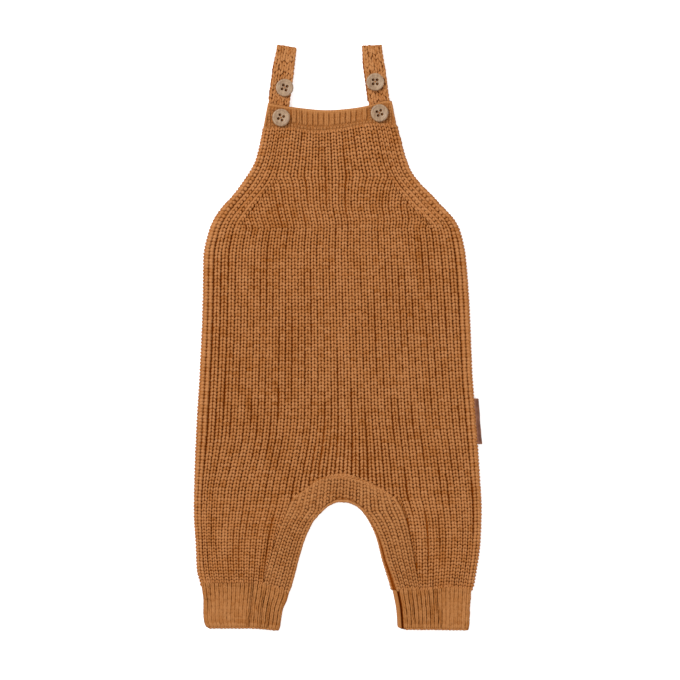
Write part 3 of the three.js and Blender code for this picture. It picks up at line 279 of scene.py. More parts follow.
def loft(x, y):
    """How far the front stands up with the air below it: a flat dome over the body and over each leg."""

    def dome(share):
        return np.maximum(0, 1 - np.abs(2 * share - 1) ** 4)

    left, right = read(SIDES, "left", y), read(SIDES, "right", y)
    body = BODY_LOFT * dome((x - left) / (right - left)) * ease(178, 120, y)
    share = np.where(
        x < 0,
        (x - left) / (read(INNER_EDGES, "left", y) - left),
        (right - x) / (right - read(INNER_EDGES, "right", y)),
    )
    leg = LEG_LOFT * dome(np.minimum(1, share)) * ease(-214, -198, y)
    return mix(body, leg, ease(-100, -142, y))


def front_floor(x, y):
    """Height of the front layer's underside."""
    return FRONT_FLOOR + loft(x, y) + corner_lift(x, y) + fold_height(x, y)


EDGE_REACH = 3.2
EDGE_DROP = 1.5


def front_top(x, y):
    """Height that the front's stitches are laid at: its underside, less the creases and the rounded sides."""
    inside = np.minimum(x - read(SIDES, "left", y), read(SIDES, "right", y) - x)
    rounded = EDGE_DROP * (1 - np.clip(inside / EDGE_REACH, 0, 1)) ** 2
    over_cuff = 0.45 * ease(2, -1, y - read(CUFF_SEAM, "y", x)) * (y < CUFF_SEAM["y"].max() + 3)
    return front_floor(x, y) - crease_depth(x, y) - rounded + over_cuff


def edge_share(rib):
    """Where a rib beside an edge lies, as a share of the way from the edge to the upright ribs."""
    step = (1 - SIDE_COLUMN_SHARE) / (EDGE_RIBS - 1)
    return np.where(rib <= 1, SIDE_COLUMN_SHARE * rib, SIDE_COLUMN_SHARE + (rib - 1) * step)


def ended_at_armhole(y):
    """How many upright ribs have ended on each side at this height."""
    foot, head = ARMHOLE_LINE
    return ENDED_AT_ARMHOLE * np.clip((y - foot) / (head - foot), 0, 1)


def body_rib_x(rib, y, ending):
    """The x of a rib line in the body. Ribs beside an edge follow it, and the others share what is between;
    towards the fork they fan out from an even spacing to the legs' spacing."""
    left, right = read(SIDES, "left", y), read(SIDES, "right", y)
    border_left, border_right = read(RIB_BORDERS, "left", y), read(RIB_BORDERS, "right", y)
    seam_left, seam_right = read(GUSSET_SEAMS, "left", y), read(GUSSET_SEAMS, "right", y)
    ended = ending * ended_at_armhole(y)
    even = mix(border_left, border_right, (rib - EDGE_RIBS - ended) / (UPRIGHT_RIBS - 2 * ended))
    left_share = (rib - EDGE_RIBS) / (LEFT_LEG_RIBS - EDGE_RIBS)
    right_share = (rib - RIGHT_LEG_FIRST_RIB) / (BODY_RIBS - EDGE_RIBS - RIGHT_LEG_FIRST_RIB)
    pulled_left = seam_left - mix(border_left, border_right, (LEFT_LEG_RIBS - EDGE_RIBS) / UPRIGHT_RIBS)
    right_leg_share = (RIGHT_LEG_FIRST_RIB - EDGE_RIBS) / UPRIGHT_RIBS
    pulled_right = seam_right - mix(border_left, border_right, right_leg_share)
    between = even + mix(pulled_left, pulled_right, ease(LEFT_LEG_RIBS, RIGHT_LEG_FIRST_RIB, rib))
    parted = np.where(
        rib <= LEFT_LEG_RIBS,
        mix(border_left, seam_left, left_share),
        np.where(rib >= RIGHT_LEG_FIRST_RIB, mix(seam_right, border_right, right_share), between),
    )
    flare = np.clip((LEG_FLARE_Y - y) / (LEG_FLARE_Y - FORK_Y), 0, 1) ** FLARE_BEND
    inner = mix(even, parted, flare)
    x = np.where(rib <= EDGE_RIBS, mix(left, border_left, edge_share(rib)), inner)
    at_right = mix(right, border_right, edge_share(BODY_RIBS - rib))
    return np.where(rib >= BODY_RIBS - EDGE_RIBS, at_right, x)


def leg_rib_x(rib, y, ended):
    """The x of a rib line in a leg, counted from its outer side; ribs end one by one at the inner seam."""
    on_left = rib < MIDDLE_RIB
    side = np.where(on_left, read(SIDES, "left", y), read(SIDES, "right", y))
    border = np.where(on_left, read(RIB_BORDERS, "left", y), read(RIB_BORDERS, "right", y))
    seam_left = read(GUSSET_SEAMS, "left", y) - TOUCH
    seam_right = read(GUSSET_SEAMS, "right", y) + TOUCH
    seam = np.where(on_left, seam_left, seam_right)
    number = np.where(on_left, rib, BODY_RIBS - rib)
    last = np.where(on_left, LEFT_LEG_RIBS, BODY_RIBS - RIGHT_LEG_FIRST_RIB)
    inner = mix(border, seam, (number - EDGE_RIBS) / (last - EDGE_RIBS - ended))
    return np.where(number <= EDGE_RIBS, mix(side, border, edge_share(number)), inner)


def meet_cuff(line_x):
    """The y where a line down a leg meets the cuff seam, found by going to and fro five times."""
    y = CUFF_SEAM["y"][0]
    for _ in range(5):
        y = read(CUFF_SEAM, "y", line_x(y))
    return y + TOUCH


def leg_ended(h):
    """How many ribs have ended at the inner leg at this height."""
    share = np.clip((CROTCH_SIDE_Y - h) / LEG_SPAN, 0, 1)
    return share, ENDED_AT_INNER_LEG * mix(FIRST_LEG_ROW_SHARE, 1, share**LEG_ENDING_BEND)


def neck_shift(x, h):
    """How far a course is moved along the garment to follow the neck seam."""
    seam = read(NECK_SEAM, "y", x) - TOUCH
    return (seam - NECK_SEAM_Y) * ease(NECK_SEAM_Y - NECK_SHIFT_REACH, NECK_SEAM_Y, h)


def front(rib, h, ending=1.0, bent=0.0):
    """The x and y of a place on the front, from its rib number and its height before the seams bend the
    courses. With ending 0 no rib ends, so that the whole row is covered evenly. With bent 1 the courses above
    the crotch are pushed up to follow its arc; the real ones stay level, and the seam cuts them off."""
    rib, h = np.broadcast_arrays(np.asarray(rib, float), np.asarray(h, float))
    high = np.maximum(h, FORK_Y)
    x = body_rib_x(rib, high, ending)
    inside = (x > CROTCH_ARC["x"][0]) & (x < CROTCH_ARC["x"][-1])
    arc = np.where(inside, read(CROTCH_ARC, "y", x) - FORK_Y + TOUCH, 0)
    y = high + neck_shift(x, high) + bent * np.maximum(0, arc) * ease(CROTCH_SHIFT_Y, FORK_Y, high)
    share, ended = leg_ended(h)
    ended = ending * ended
    leg_y = mix(CROTCH_SIDE_Y, meet_cuff(lambda at: leg_rib_x(rib, at, ended)), share)
    leg = np.clip((FORK_Y - h) / (FORK_Y - CROTCH_SIDE_Y), 0, 1)
    return mix(x, leg_rib_x(rib, leg_y, ended), leg), mix(y, leg_y, leg) + np.minimum(0, h - FOOT_Y)


# Meshes


def new_mesh(name, points, faces, uvs=None, values=None):
    """A smooth mesh from points in millimetres and a face array, with UV maps given for each face corner and
    values given for each point."""
    mesh = bpy.data.meshes.new(name)
    count, sides = faces.shape
    mesh.vertices.add(len(points))
    mesh.vertices.foreach_set("co", (points * MM).astype(np.float32).ravel())
    mesh.loops.add(faces.size)
    mesh.loops.foreach_set("vertex_index", faces.astype(np.int32).ravel())
    mesh.polygons.add(count)
    mesh.polygons.foreach_set("loop_start", np.arange(0, faces.size, sides, dtype=np.int32))
    mesh.polygons.foreach_set("use_smooth", np.ones(count, bool))
    mesh.update(calc_edges=True)
    for layer, uv in (uvs or {}).items():
        made = mesh.uv_layers.new(name=layer)
        made.data.foreach_set("uv", np.asarray(uv, np.float32).reshape(-1, 2).ravel())
    for layer, value in (values or {}).items():
        made = mesh.attributes.new(layer, "FLOAT", "POINT")
        made.data.foreach_set("value", np.asarray(value, np.float32).ravel())
    return mesh


def new_piece(name, mesh, material, stands_for=()):
    """A piece of the garment that lies with its body, with its material and the solids that
    it stands for."""
    piece = bpy.data.objects.new(name, mesh)
    bpy.context.scene.collection.objects.link(piece)
    mesh.materials.append(material)
    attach(piece, BODY)
    if stands_for:
        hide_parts(*stands_for)
    return piece


def wall(name, top, under, keep=None, knit=None, depth=None):
    """A closed wall between two grids of points, whose rows run down the garment and whose columns run to the
    right. keep says which cells are cloth, and every border of theirs is closed by a rim. knit is the rib and
    course number of each grid point, for the UV map Knit, and depth is 0 in a valley and 1 on a ridge; the
    materials paint the cloth darker where depth is low, as painted shade."""
    rows, cols = top.shape[:2]
    depth = np.ones((rows, cols)) if depth is None else np.broadcast_to(depth, (rows, cols))
    keep = np.ones((rows - 1, cols - 1), bool) if keep is None else keep
    ids = np.arange(rows * cols).reshape(rows, cols)
    a, b, c, d = ids[:-1, :-1], ids[:-1, 1:], ids[1:, 1:], ids[1:, :-1]
    low = rows * cols
    padded = np.pad(keep, 1)
    missing = {
        "left": keep & ~padded[1:-1, :-2],
        "right": keep & ~padded[1:-1, 2:],
        "head": keep & ~padded[:-2, 1:-1],
        "foot": keep & ~padded[2:, 1:-1],
    }
    edges = {"left": (a, d), "right": (c, b), "head": (b, a), "foot": (d, c)}
    quads = [
        np.stack([a, d, c, b], -1)[keep],
        np.stack([a, b, c, d], -1)[keep] + low,
    ]
    for where, (one, two) in edges.items():
        quads.append(np.stack([one, one + low, two + low, two], -1)[missing[where]])
    faces = np.concatenate(quads)
    used = np.unique(faces)
    renumber = np.zeros(2 * low, int)
    renumber[used] = np.arange(len(used))
    points = np.concatenate([top.reshape(-1, 3), under.reshape(-1, 3)])
    uvs = {}
    if knit is not None:
        uvs["Knit"] = np.concatenate([knit.reshape(-1, 2)] * 2)[faces]
    low_and_high = np.concatenate([depth.ravel(), np.full(low, 0.6)])[used]
    return new_mesh(name, points[used], renumber[faces], uvs, {"depth": low_and_high})


def tube(name, outer, inner, knit, knit_wrap, depth):
    """A closed wall round a tube: grids of points whose columns run round and join up, the inner one smaller
    and joined to the outer one at both ends. depth is 0 in a valley and 1 on a ridge; the material paints the
    cloth darker where depth is low, as painted shade."""
    rows, cols = outer.shape[:2]
    ids = np.arange(rows * cols).reshape(rows, cols)
    turned = np.roll(ids, -1, axis=1)
    skin = np.stack([ids[:-1], ids[1:], turned[1:], turned[:-1]], -1).reshape(-1, 4)
    low = rows * cols
    points = np.concatenate([outer.reshape(-1, 3), inner.reshape(-1, 3)])
    rims = [
        np.stack([ids[0], turned[0], turned[0] + low, ids[0] + low], -1),
        np.stack([turned[-1], ids[-1], ids[-1] + low, turned[-1] + low], -1),
    ]
    faces = np.concatenate([skin, skin[:, ::-1] + low, *rims])
    corners = np.concatenate([knit.reshape(-1, 2)] * 2)[faces]
    over = corners[..., 0].max(1, keepdims=True) - corners[..., 0] > knit_wrap / 2
    corners[..., 0] += knit_wrap * over
    values = {"depth": np.concatenate([depth.ravel(), np.full(low, 0.3)])}
    return new_mesh(name, points, faces, {"Knit": corners}, values)


def strand_template(sides, rings):
    """One strand of yarn as a closed body: rings round its line and a point at each end. Gives where each
    point lies along and round it, the triangles, and a map of each triangle corner."""
    along = np.linspace(0.14, 0.86, rings)
    swell = 1 - 0.42 * np.abs(2 * along - 1) ** 2.5
    around = np.arange(sides) / sides
    line = np.concatenate([np.repeat(along, sides), [0, 1]])
    size = np.concatenate([np.repeat(swell, sides), [0, 0]])
    turn = np.concatenate([np.tile(around, rings), [0, 0]]) * 2 * np.pi + np.pi / 2
    ids = np.arange(rings * sides).reshape(rings, sides)
    nxt = np.roll(ids, -1, axis=1)
    a, b, c, d = ids[:-1], nxt[:-1], nxt[1:], ids[1:]
    first, last = rings * sides, rings * sides + 1
    faces = [
        np.stack([a, b, c], -1).reshape(-1, 3),
        np.stack([a, c, d], -1).reshape(-1, 3),
        np.stack([nxt[0], ids[0], np.full(sides, first)], -1),
        np.stack([ids[-1], nxt[-1], np.full(sides, last)], -1),
    ]
    k = np.arange(sides)
    grid = np.broadcast_to(k, (rings - 1, sides))
    zero, one = grid / sides, (grid + 1) / sides
    round_maps = [
        np.stack([zero, one, one], -1).reshape(-1, 3),
        np.stack([zero, one, zero], -1).reshape(-1, 3),
        np.stack([(k + 1) / sides, k / sides, (k + 0.5) / sides], -1),
        np.stack([k / sides, (k + 1) / sides, (k + 0.5) / sides], -1),
    ]
    faces, round_map = np.concatenate(faces), np.concatenate(round_maps)
    return line, size, turn, faces, np.stack([line[faces], round_map], -1)


class Yarn:
    """Strands laid so far for one piece: their ends, the way up, half width, half height, arch and shade."""

    def __init__(self):
        self.laid = []

    def lay(self, start, end, wide, high, arch, up=(0, 0, 1), shade=0.5):
        """Lays one strand from each start to its end; the other values are one for all or one for each."""
        count = len(start)
        up = np.broadcast_to(np.asarray(up, float), (count, 3))
        fields = [np.broadcast_to(np.asarray(v, float), count)[:, None] for v in (wide, high, arch, shade)]
        self.laid.append(np.hstack([start, end, up, *fields]))

    def pieces(self, name, material, sides=5, rings=3, limit=190000):
        """The strands as joined meshes. A point lies on the arched line between the strand's ends, moved out
        by an ellipse across it, which swells towards the middle."""
        laid = np.concatenate(self.laid)
        line, size, turn, faces, corner_map = strand_template(sides, rings)
        parts = math.ceil(len(laid) * len(faces) / limit)
        made = []
        for part, rows in enumerate(np.array_split(laid, parts)):
            start, end, up = rows[:, None, 0:3], rows[:, None, 3:6], rows[:, None, 6:9]
            wide, high, arch, shade = (rows[:, k, None] for k in range(9, 13))
            length = np.linalg.norm(end - start, axis=2, keepdims=True)
            ahead = (end - start) / length
            side = np.cross(ahead, up)
            side /= np.linalg.norm(side, axis=2, keepdims=True)
            out = np.cross(side, ahead)
            bow = arch * (1 - (2 * line - 1) ** 2)
            across, rise = wide * size * np.cos(turn), high * size * np.sin(turn) + bow
            points = mix(start, end, line[None, :, None]) + side * across[..., None] + out * rise[..., None]
            points[..., 2] = np.maximum(points[..., 2], ABOVE_FLOOR)
            count, each = len(rows), len(line)
            all_faces = (faces[None] + each * np.arange(count)[:, None, None]).reshape(-1, 3)
            yarn = np.broadcast_to(corner_map, (count, *corner_map.shape)) * np.ones(2)
            yarn[..., 0] *= length[:, :, :, None][:, 0]
            cells = math.ceil(math.sqrt(count))
            cell = np.stack([np.arange(count) % cells, np.arange(count) // cells], -1)
            bake = (cell[:, None, None, :] + 0.06 + 0.88 * corner_map) / cells
            # Painted shade: the attribute depth makes each strand darker low down and towards its start
            lift = (0.5 + 0.5 * size * np.sin(turn)) * (0.72 + 0.28 * np.sqrt(line))
            depth = np.broadcast_to(lift, (count, each))
            values = {"shade": np.broadcast_to(shade, (count, each)), "depth": depth}
            label = f"{name}_{part + 1}" if parts > 1 else name
            uvs = {"Yarn": yarn, "OFBake": bake}
            mesh = new_mesh(label, points.reshape(-1, 3), all_faces, uvs, values)
            made.append(new_piece(label, mesh, material))
        return made


# The yarn of a rib: its half width as a share of the rib, the widest rib that counts, and how uneven it is
YARN_SHARE = 0.245
WIDEST_RIB = 5.8
SLIP = 0.13
UNEVEN_LIFT = 0.07
UNEVEN_FATNESS = 0.07
UNEVEN_DYE = 0.16

# What an open valley does to the yarn beside it: moves it aside, drops it, thins it, and darkens it as
# painted shade
OPEN_ASIDE = 0.055
OPEN_DROP = 0.3
OPEN_THINNER = 0.11
OPEN_PAINTED_SHADE = 0.12


def rib_stitches(
    yarn, place, rib, h, course, rng, surface, heights, spread=(0.395, 0.1), room=1.0, full=1.0,
    shade=0.0, widest=WIDEST_RIB, open_sides=(0.0, 0.0), over=0.62,
):
    """Two legs for each stitch: each runs from beside the valley, low, up to the middle of its rib. place
    gives x and y from a rib and a height, surface the height of the cloth there; heights are those of the
    leg's two ends above it, the arch between them and the half height of the yarn. room is the share of a
    whole rib that the stitch has, where its rib is coming to an end. open_sides is how far the valleys to its
    left and right stand open, from 0 shut to above 1, and over is the half length of a leg against the
    course."""
    low_end, high_end, arch, thick = heights
    half = over * course
    x0, y0 = place(rib - 0.5 * room, h)
    x1, y1 = place(rib + 0.5 * room, h)
    wide = full * YARN_SHARE * np.minimum(np.hypot(x1 - x0, y1 - y0), widest)
    tone = np.clip(0.5 + UNEVEN_DYE * rng.standard_normal(len(rib)) + shade, 0, 1)
    for hand, opened in zip((-1, 1), open_sides):
        jitter = rng.standard_normal((len(rib), 4)) * SLIP
        ax, ay = place(rib + hand * (spread[0] - OPEN_ASIDE * opened) * room, h - half)
        bx, by = place(rib + hand * spread[1] * room, h + half)
        ax, ay, bx, by = ax + jitter[:, 0], ay + jitter[:, 1], bx + jitter[:, 2], by + jitter[:, 3]
        lift = UNEVEN_LIFT * rng.standard_normal(len(rib))
        start = np.stack([ax, ay, surface(ax, ay) + low_end + lift - OPEN_DROP * opened], -1)
        end = np.stack([bx, by, surface(bx, by) + high_end + lift], -1)
        fatness = 1 + UNEVEN_FATNESS * rng.standard_normal(len(rib))
        half_width = wide * fatness * (1 - OPEN_THINNER * opened)
        # Painted shade: the yarn beside an open valley is darkened
        yarn.lay(start, end, half_width, thick, arch, shade=tone - OPEN_PAINTED_SHADE * opened)


def path_points(points, pitch):
    """Places at an even pitch along a line of points, and the direction there."""
    steps = np.linalg.norm(np.diff(points, axis=0), axis=1)
    at = np.concatenate([[0], np.cumsum(steps)])
    count = max(1, round(at[-1] / pitch))
    middles = (np.arange(count) + 0.5) * at[-1] / count
    spots = np.stack([np.interp(middles, at, points[:, k]) for k in range(points.shape[1])], -1)
    ahead = np.stack([np.interp(middles + 0.5, at, points[:, k]) for k in range(points.shape[1])], -1) - spots
    ahead /= np.maximum(np.linalg.norm(ahead, axis=1, keepdims=True), 1e-9)
    return spots, ahead


def edge_stitches(yarn, points, pitch, rng, wide, high, over=0.62, tilt=0.12, shade=0.0):
    """A chain of stitches along an edge, each a little askew, so that the outline has a bump for each."""
    spots, ahead = path_points(points, pitch)
    side = np.stack([-ahead[:, 1], ahead[:, 0], np.zeros(len(spots))], -1)
    lean = side * pitch * tilt
    reach = ahead * pitch * over
    tone = np.clip(0.5 + 0.15 * rng.standard_normal(len(spots)) + shade, 0, 1)
    fat = 1 + 0.06 * rng.standard_normal(len(spots))
    yarn.lay(spots - reach - lean, spots + reach + lean, wide * fat, high, 0.0, shade=tone)


# Materials


def linear(text):
    """An sRGB hex colour as linear red, green and blue."""
    channels = [int(text[k : k + 2], 16) / 255 for k in (1, 3, 5)]
    return tuple(c / 12.92 if c <= 0.04045 else ((c + 0.055) / 1.055) ** 2.4 for c in channels)


def set_inputs(tree, made, inputs):
    """Sets a node's inputs; each is a value or the output that is linked to it."""
    for key, value in inputs.items():
        if isinstance(value, bpy.types.NodeSocket):
            tree.links.new(value, made.inputs[key])
        else:
            made.inputs[key].default_value = value


def node(tree, kind, settings=None, inputs=None):
    """Adds a node with its settings; each input is a value or the output that is linked to it."""
    made = tree.nodes.new(kind)
    for key, value in (settings or {}).items():
        setattr(made, key, value)
    set_inputs(tree, made, inputs or {})
    return made


def new_material(name):
    """An empty material with a surface shader, and its tree, shader and object coordinates."""
    made = bpy.data.materials.new(name)
    made.use_nodes = True
    tree = made.node_tree
    tree.nodes.clear()
    shader = node(tree, "ShaderNodeBsdfPrincipled")
    node(tree, "ShaderNodeOutputMaterial", inputs={"Surface": shader.outputs["BSDF"]})
    place = node(tree, "ShaderNodeTexCoord").outputs["Object"]
    return made, tree, shader, place


def noise(tree, place, size_mm, detail=2.0, roughness=0.5, stretch=(1, 1, 1)):
    """Noise whose grain is about size_mm across, drawn out along an axis where stretch is below 1."""
    scaled = node(tree, "ShaderNodeMapping", inputs={"Vector": place, "Scale": stretch})
    inputs = {"Vector": scaled.outputs["Vector"], "Scale": 1 / (size_mm * MM), "Detail": detail}
    return node(tree, "ShaderNodeTexNoise", inputs={**inputs, "Roughness": roughness}).outputs["Fac"]


def blend(tree, share, a, b, kind="MIX"):
    """Two colours mixed by a share."""
    inputs = {0: share, 6: (*a, 1) if isinstance(a, tuple) else a, 7: (*b, 1) if isinstance(b, tuple) else b}
    settings = {"data_type": "RGBA", "blend_type": kind}
    return node(tree, "ShaderNodeMix", settings, inputs).outputs[2]


def tones(tree, share, dark, light):
    """From dark to light by a share, through the tone that the eye sees half way between them."""
    middle = tuple(((a**0.45 + b**0.45) / 2) ** (1 / 0.45) for a, b in zip(dark, light))
    made = node(tree, "ShaderNodeValToRGB", inputs={"Fac": share})
    stops = made.color_ramp.elements
    stops[0].color, stops[1].color = (*dark, 1), (*light, 1)
    stops.new(0.5).color = (*middle, 1)
    return made.outputs["Color"]


def maths(tree, operation, a, b=0.0, c=0.0):
    """One step of arithmetic on shader values."""
    return node(tree, "ShaderNodeMath", {"operation": operation}, {0: a, 1: b, 2: c}).outputs[0]


def ranged(tree, value, low, high, to_low=0.0, to_high=1.0):
    """A value taken from one range to another, smoothly and clamped."""
    inputs = {"Value": value, "From Min": low, "From Max": high, "To Min": to_low, "To Max": to_high}
    return node(tree, "ShaderNodeMapRange", {"interpolation_type": "SMOOTHSTEP"}, inputs).outputs["Result"]


def bump(tree, height, strength, distance_mm):
    """A normal that leans as if the surface rose by the height, up to distance_mm."""
    inputs = {"Height": height, "Strength": strength, "Distance": distance_mm * MM}
    return node(tree, "ShaderNodeBump", inputs=inputs).outputs["Normal"]


# Cotton gives back almost no gloss, only a trace of sheen from its loose fibres
COTTON = {
    "Roughness": 0.92,
    "IOR": 1.5,
    "Specular IOR Level": 0.02,
    "Sheen Weight": 0.01,
    "Sheen Roughness": 0.5,
}
FUZZ_MM = 0.35


def yarn_material(name, light, dark):
    """Soft spun cotton of three plies. The plies show as slanting grooves 1.1 mm apart, the fibres as a fine
    fuzz, and each stitch takes the dye a little differently. The grooves and the low side of each strand are
    painted darker, as painted shade, and so are the places that the pieces shade through the attribute shade."""
    made, tree, shader, place = new_material(name)
    yarn = node(tree, "ShaderNodeUVMap", {"uv_map": "Yarn"}).outputs["UV"]
    twist = node(tree, "ShaderNodeMapping", inputs={"Vector": yarn, "Scale": (0.57, 1.885, 1)})
    plies = node(
        tree,
        "ShaderNodeTexWave",
        {"bands_direction": "DIAGONAL"},
        {"Vector": twist.outputs["Vector"], "Scale": 1.0, "Distortion": 0.6, "Detail": 1.0},
    ).outputs["Fac"]
    fuzz = noise(tree, place, FUZZ_MM, 3.0, 0.7)
    patch = noise(tree, place, 60, 1.0)
    shade = node(tree, "ShaderNodeAttribute", {"attribute_name": "shade"}).outputs["Fac"]
    depth = node(tree, "ShaderNodeAttribute", {"attribute_name": "depth"}).outputs["Fac"]
    # The attribute shade and slow patches: each stitch's random dye and tone, with the painted shade and
    # painted light that the pieces add
    dye_and_painted_shade = maths(tree, "MULTIPLY_ADD", shade, 0.34, maths(tree, "MULTIPLY_ADD", patch, 0.14, 0.08))
    # Painted shade: darker low on each strand, from the attribute depth
    lit = maths(tree, "ADD", dye_and_painted_shade, ranged(tree, depth, 0.15, 0.9, -0.35, 0.42))
    # Painted shade in the grooves between the plies
    lit = maths(tree, "MULTIPLY_ADD", plies, 0.16, lit)
    lit = maths(tree, "MULTIPLY_ADD", fuzz, 0.16, lit)
    colour = tones(tree, ranged(tree, lit, 0.0, 1.15), dark, light)
    height = maths(tree, "MULTIPLY_ADD", fuzz, 0.45, plies)
    normal = bump(tree, height, 0.5, 0.22)
    set_inputs(tree, shader, {**COTTON, "Base Color": colour, "Normal": normal, "Sheen Tint": (*light, 1)})
    return made


def knit_material(name, light, dark, relief=0.6, contrast=1.0):
    """Cotton knitting seen as cloth. On the map Knit a rib is 1 wide and a course 1 high, and each stitch is
    two slanting legs with a gap between ribs, in the middle of a rib and between courses. The gaps are
    painted dark as shade, and the cloth is painted darker where its attribute depth is low, as painted shade."""
    made, tree, shader, place = new_material(name)
    knit = node(tree, "ShaderNodeUVMap", {"uv_map": "Knit"}).outputs["UV"]
    parts = node(tree, "ShaderNodeSeparateXYZ", inputs={"Vector": knit})
    within = maths(tree, "FRACT", parts.outputs["X"])
    aside = maths(tree, "ABSOLUTE", maths(tree, "MULTIPLY_ADD", within, 2.0, -1.0))
    leg = maths(tree, "SINE", maths(tree, "MULTIPLY", aside, math.pi))
    slanted = maths(tree, "MULTIPLY_ADD", aside, 0.75, parts.outputs["Y"])
    rounds = maths(tree, "SINE", maths(tree, "MULTIPLY", slanted, 2 * math.pi))
    rounds = maths(tree, "MULTIPLY_ADD", rounds, 0.5, 0.5)
    raised = maths(tree, "MULTIPLY_ADD", rounds, 0.5, 0.5)
    height = maths(tree, "MULTIPLY", maths(tree, "POWER", leg, 0.6), raised)
    fuzz = noise(tree, place, FUZZ_MM, 3.0, 0.7)
    patch = noise(tree, place, 38, 2.0)
    depth = node(tree, "ShaderNodeAttribute", {"attribute_name": "depth"}).outputs["Fac"]
    # Painted shade in the gaps between the legs, with random patches of tone
    lit = maths(tree, "MULTIPLY_ADD", height, 0.4 * contrast, maths(tree, "MULTIPLY", patch, 0.2))
    lit = maths(tree, "MULTIPLY_ADD", fuzz, 0.2, lit)
    # Painted shade: darker where the attribute depth is low
    lit = maths(tree, "MULTIPLY_ADD", depth, 0.8, lit)
    colour = tones(tree, ranged(tree, lit, 0.2, 1.15), dark, light)
    total = maths(tree, "MULTIPLY_ADD", fuzz, 0.25, height)
    normal = bump(tree, total, relief, 0.6)
    set_inputs(tree, shader, {**COTTON, "Base Color": colour, "Normal": normal, "Sheen Tint": (*light, 1)})
    return made


def button_material(name, light, dark):
    """Moulded polyester made to look like horn: smooth and slightly glossy, with faint streaks and specks."""
    made, tree, shader, place = new_material(name)
    streaks = noise(tree, place, 1.6, 3.0, 0.6, (1.0, 0.25, 1.0))
    specks = noise(tree, place, 0.5, 2.0, 0.6)
    share = maths(tree, "MULTIPLY_ADD", specks, 0.4, maths(tree, "MULTIPLY", streaks, 0.8))
    colour = blend(tree, ranged(tree, share, 0.35, 0.85), dark, light)
    rough = ranged(tree, streaks, 0.2, 0.8, 0.42, 0.56)
    inputs = {"Base Color": colour, "Roughness": rough, "IOR": 1.55, "Specular IOR Level": 0.5}
    set_inputs(tree, shader, {**inputs, "Normal": bump(tree, specks, 0.12, 0.08)})
    return made


PEBBLE_MM = 0.8


def leather_material(name, light, dark):
    """Vegetable-tanned leather: fine pebbled grain with darker creases, and paler edges where it turns, a
    painted highlight.
    """
    made, tree, shader, place = new_material(name)
    pebbles = {"Vector": place, "Scale": 1 / (PEBBLE_MM * MM)}
    cells = node(tree, "ShaderNodeTexVoronoi", {"feature": "DISTANCE_TO_EDGE"}, pebbles).outputs["Distance"]
    tone = noise(tree, place, 6, 3.0)
    grain = ranged(tree, cells, 0.0, 0.35)
    edge = node(tree, "ShaderNodeNewGeometry").outputs["Pointiness"]
    share = maths(tree, "MULTIPLY_ADD", grain, 0.3, maths(tree, "MULTIPLY", tone, 0.7))
    # Painted highlight: lighter on the convex edges
    share = maths(tree, "ADD", share, ranged(tree, edge, 0.5, 0.58, 0.0, 0.35))
    colour = blend(tree, ranged(tree, share, 0.2, 1.0), dark, light)
    inputs = {"Base Color": colour, "Roughness": 0.68, "IOR": 1.5, "Specular IOR Level": 0.25}
    set_inputs(tree, shader, {**inputs, "Normal": bump(tree, grain, 0.35, 0.15)})
    return made


# Settings


class DungareesColours(bpy.types.PropertyGroup):
    """The dyes and finishes, and the painted shade that the dark colours also stand for."""


class DungareesSizes(bpy.types.PropertyGroup):
    """Sizes of the knitting, in millimetres."""


def colour_property(name, description, text):
    """A colour setting, whose default is an sRGB hex colour."""
    return bpy.props.FloatVectorProperty(
        name=name, description=description, subtype="COLOR", size=3, min=0, max=1, default=linear(text)
    )


def size_property(name, description, default, low, high):
    """A number setting with its limits."""
    return bpy.props.FloatProperty(name=name, description=description, default=default, min=low, max=high)


# The dark colours are the yarn's deeper tone and also painted shade, laid low on each stitch and in valleys.
# The ground colours are painted shade only: the cloth below the stitches is seen in their gaps, where shade
# falls. The dark thread is painted shade down in the button holes.
DungareesColours.__annotations__ = {
    "yarn_light": colour_property("Yarn, light", "Top of a stitch on the body", "#bf8352"),
    "yarn_dark": colour_property("Yarn, dark", "Low part of a stitch on the body", "#793200"),
    "ground_light": colour_property("Ground, light", "Cloth below the stitches", "#93490f"),
    "ground_dark": colour_property("Ground, dark", "Gaps below the stitches", "#6a2a00"),
    "band_light": colour_property("Bands, light", "Neckbands and cuffs", "#b47b4a"),
    "band_dark": colour_property("Bands, dark", "Valleys of the neckbands and cuffs", "#7c3a08"),
    "cuff_light": colour_property("Cuffs, light", "Top of a stitch on the cuffs", "#b67c4b"),
    "cuff_dark": colour_property("Cuffs, dark", "Low part of a stitch on the cuffs", "#84440f"),
    "strap_light": colour_property("Straps, light", "Top of a stitch on the straps", "#bd8352"),
    "strap_dark": colour_property("Straps, dark", "Low part of a stitch on the straps", "#7c3804"),
    "gusset_light": colour_property("Gusset, light", "Top of a stitch on the crotch gusset", "#bb8150"),
    "gusset_dark": colour_property("Gusset, dark", "Low part of a stitch on the crotch gusset", "#7a3806"),
    "thread_dark": colour_property("Thread, dark", "Sewing thread down in the button holes", "#3a1803"),
    "button_light": colour_property("Buttons, light", "Moulded buttons", "#b09272"),
    "button_dark": colour_property("Buttons, dark", "Streaks in the buttons", "#7c5c41"),
    "leather_light": colour_property("Leather, light", "Worn leather of the side label", "#90604a"),
    "leather_dark": colour_property("Leather, dark", "Leather of the side label", "#583222"),
    "floor": colour_property("Floor", "Plain floor", "#f7f7f7"),
}
DungareesSizes.__annotations__ = {
    "course": size_property("Course", "Height of one stitch on the body, mm", 2.9, 2.0, 5.0),
    "strap_course": size_property("Strap course", "Height of one stitch on the straps, mm", 3.7, 2.0, 6.0),
    "fullness": size_property("Fullness", "Thickness of the yarn against its usual one", 1.0, 0.6, 1.4),
}


def colours():
    """The colours in use, by name, as plain tuples."""
    chosen = bpy.context.scene.dungarees_colours
    return {key: tuple(getattr(chosen, key)) for key in DungareesColours.__annotations__}


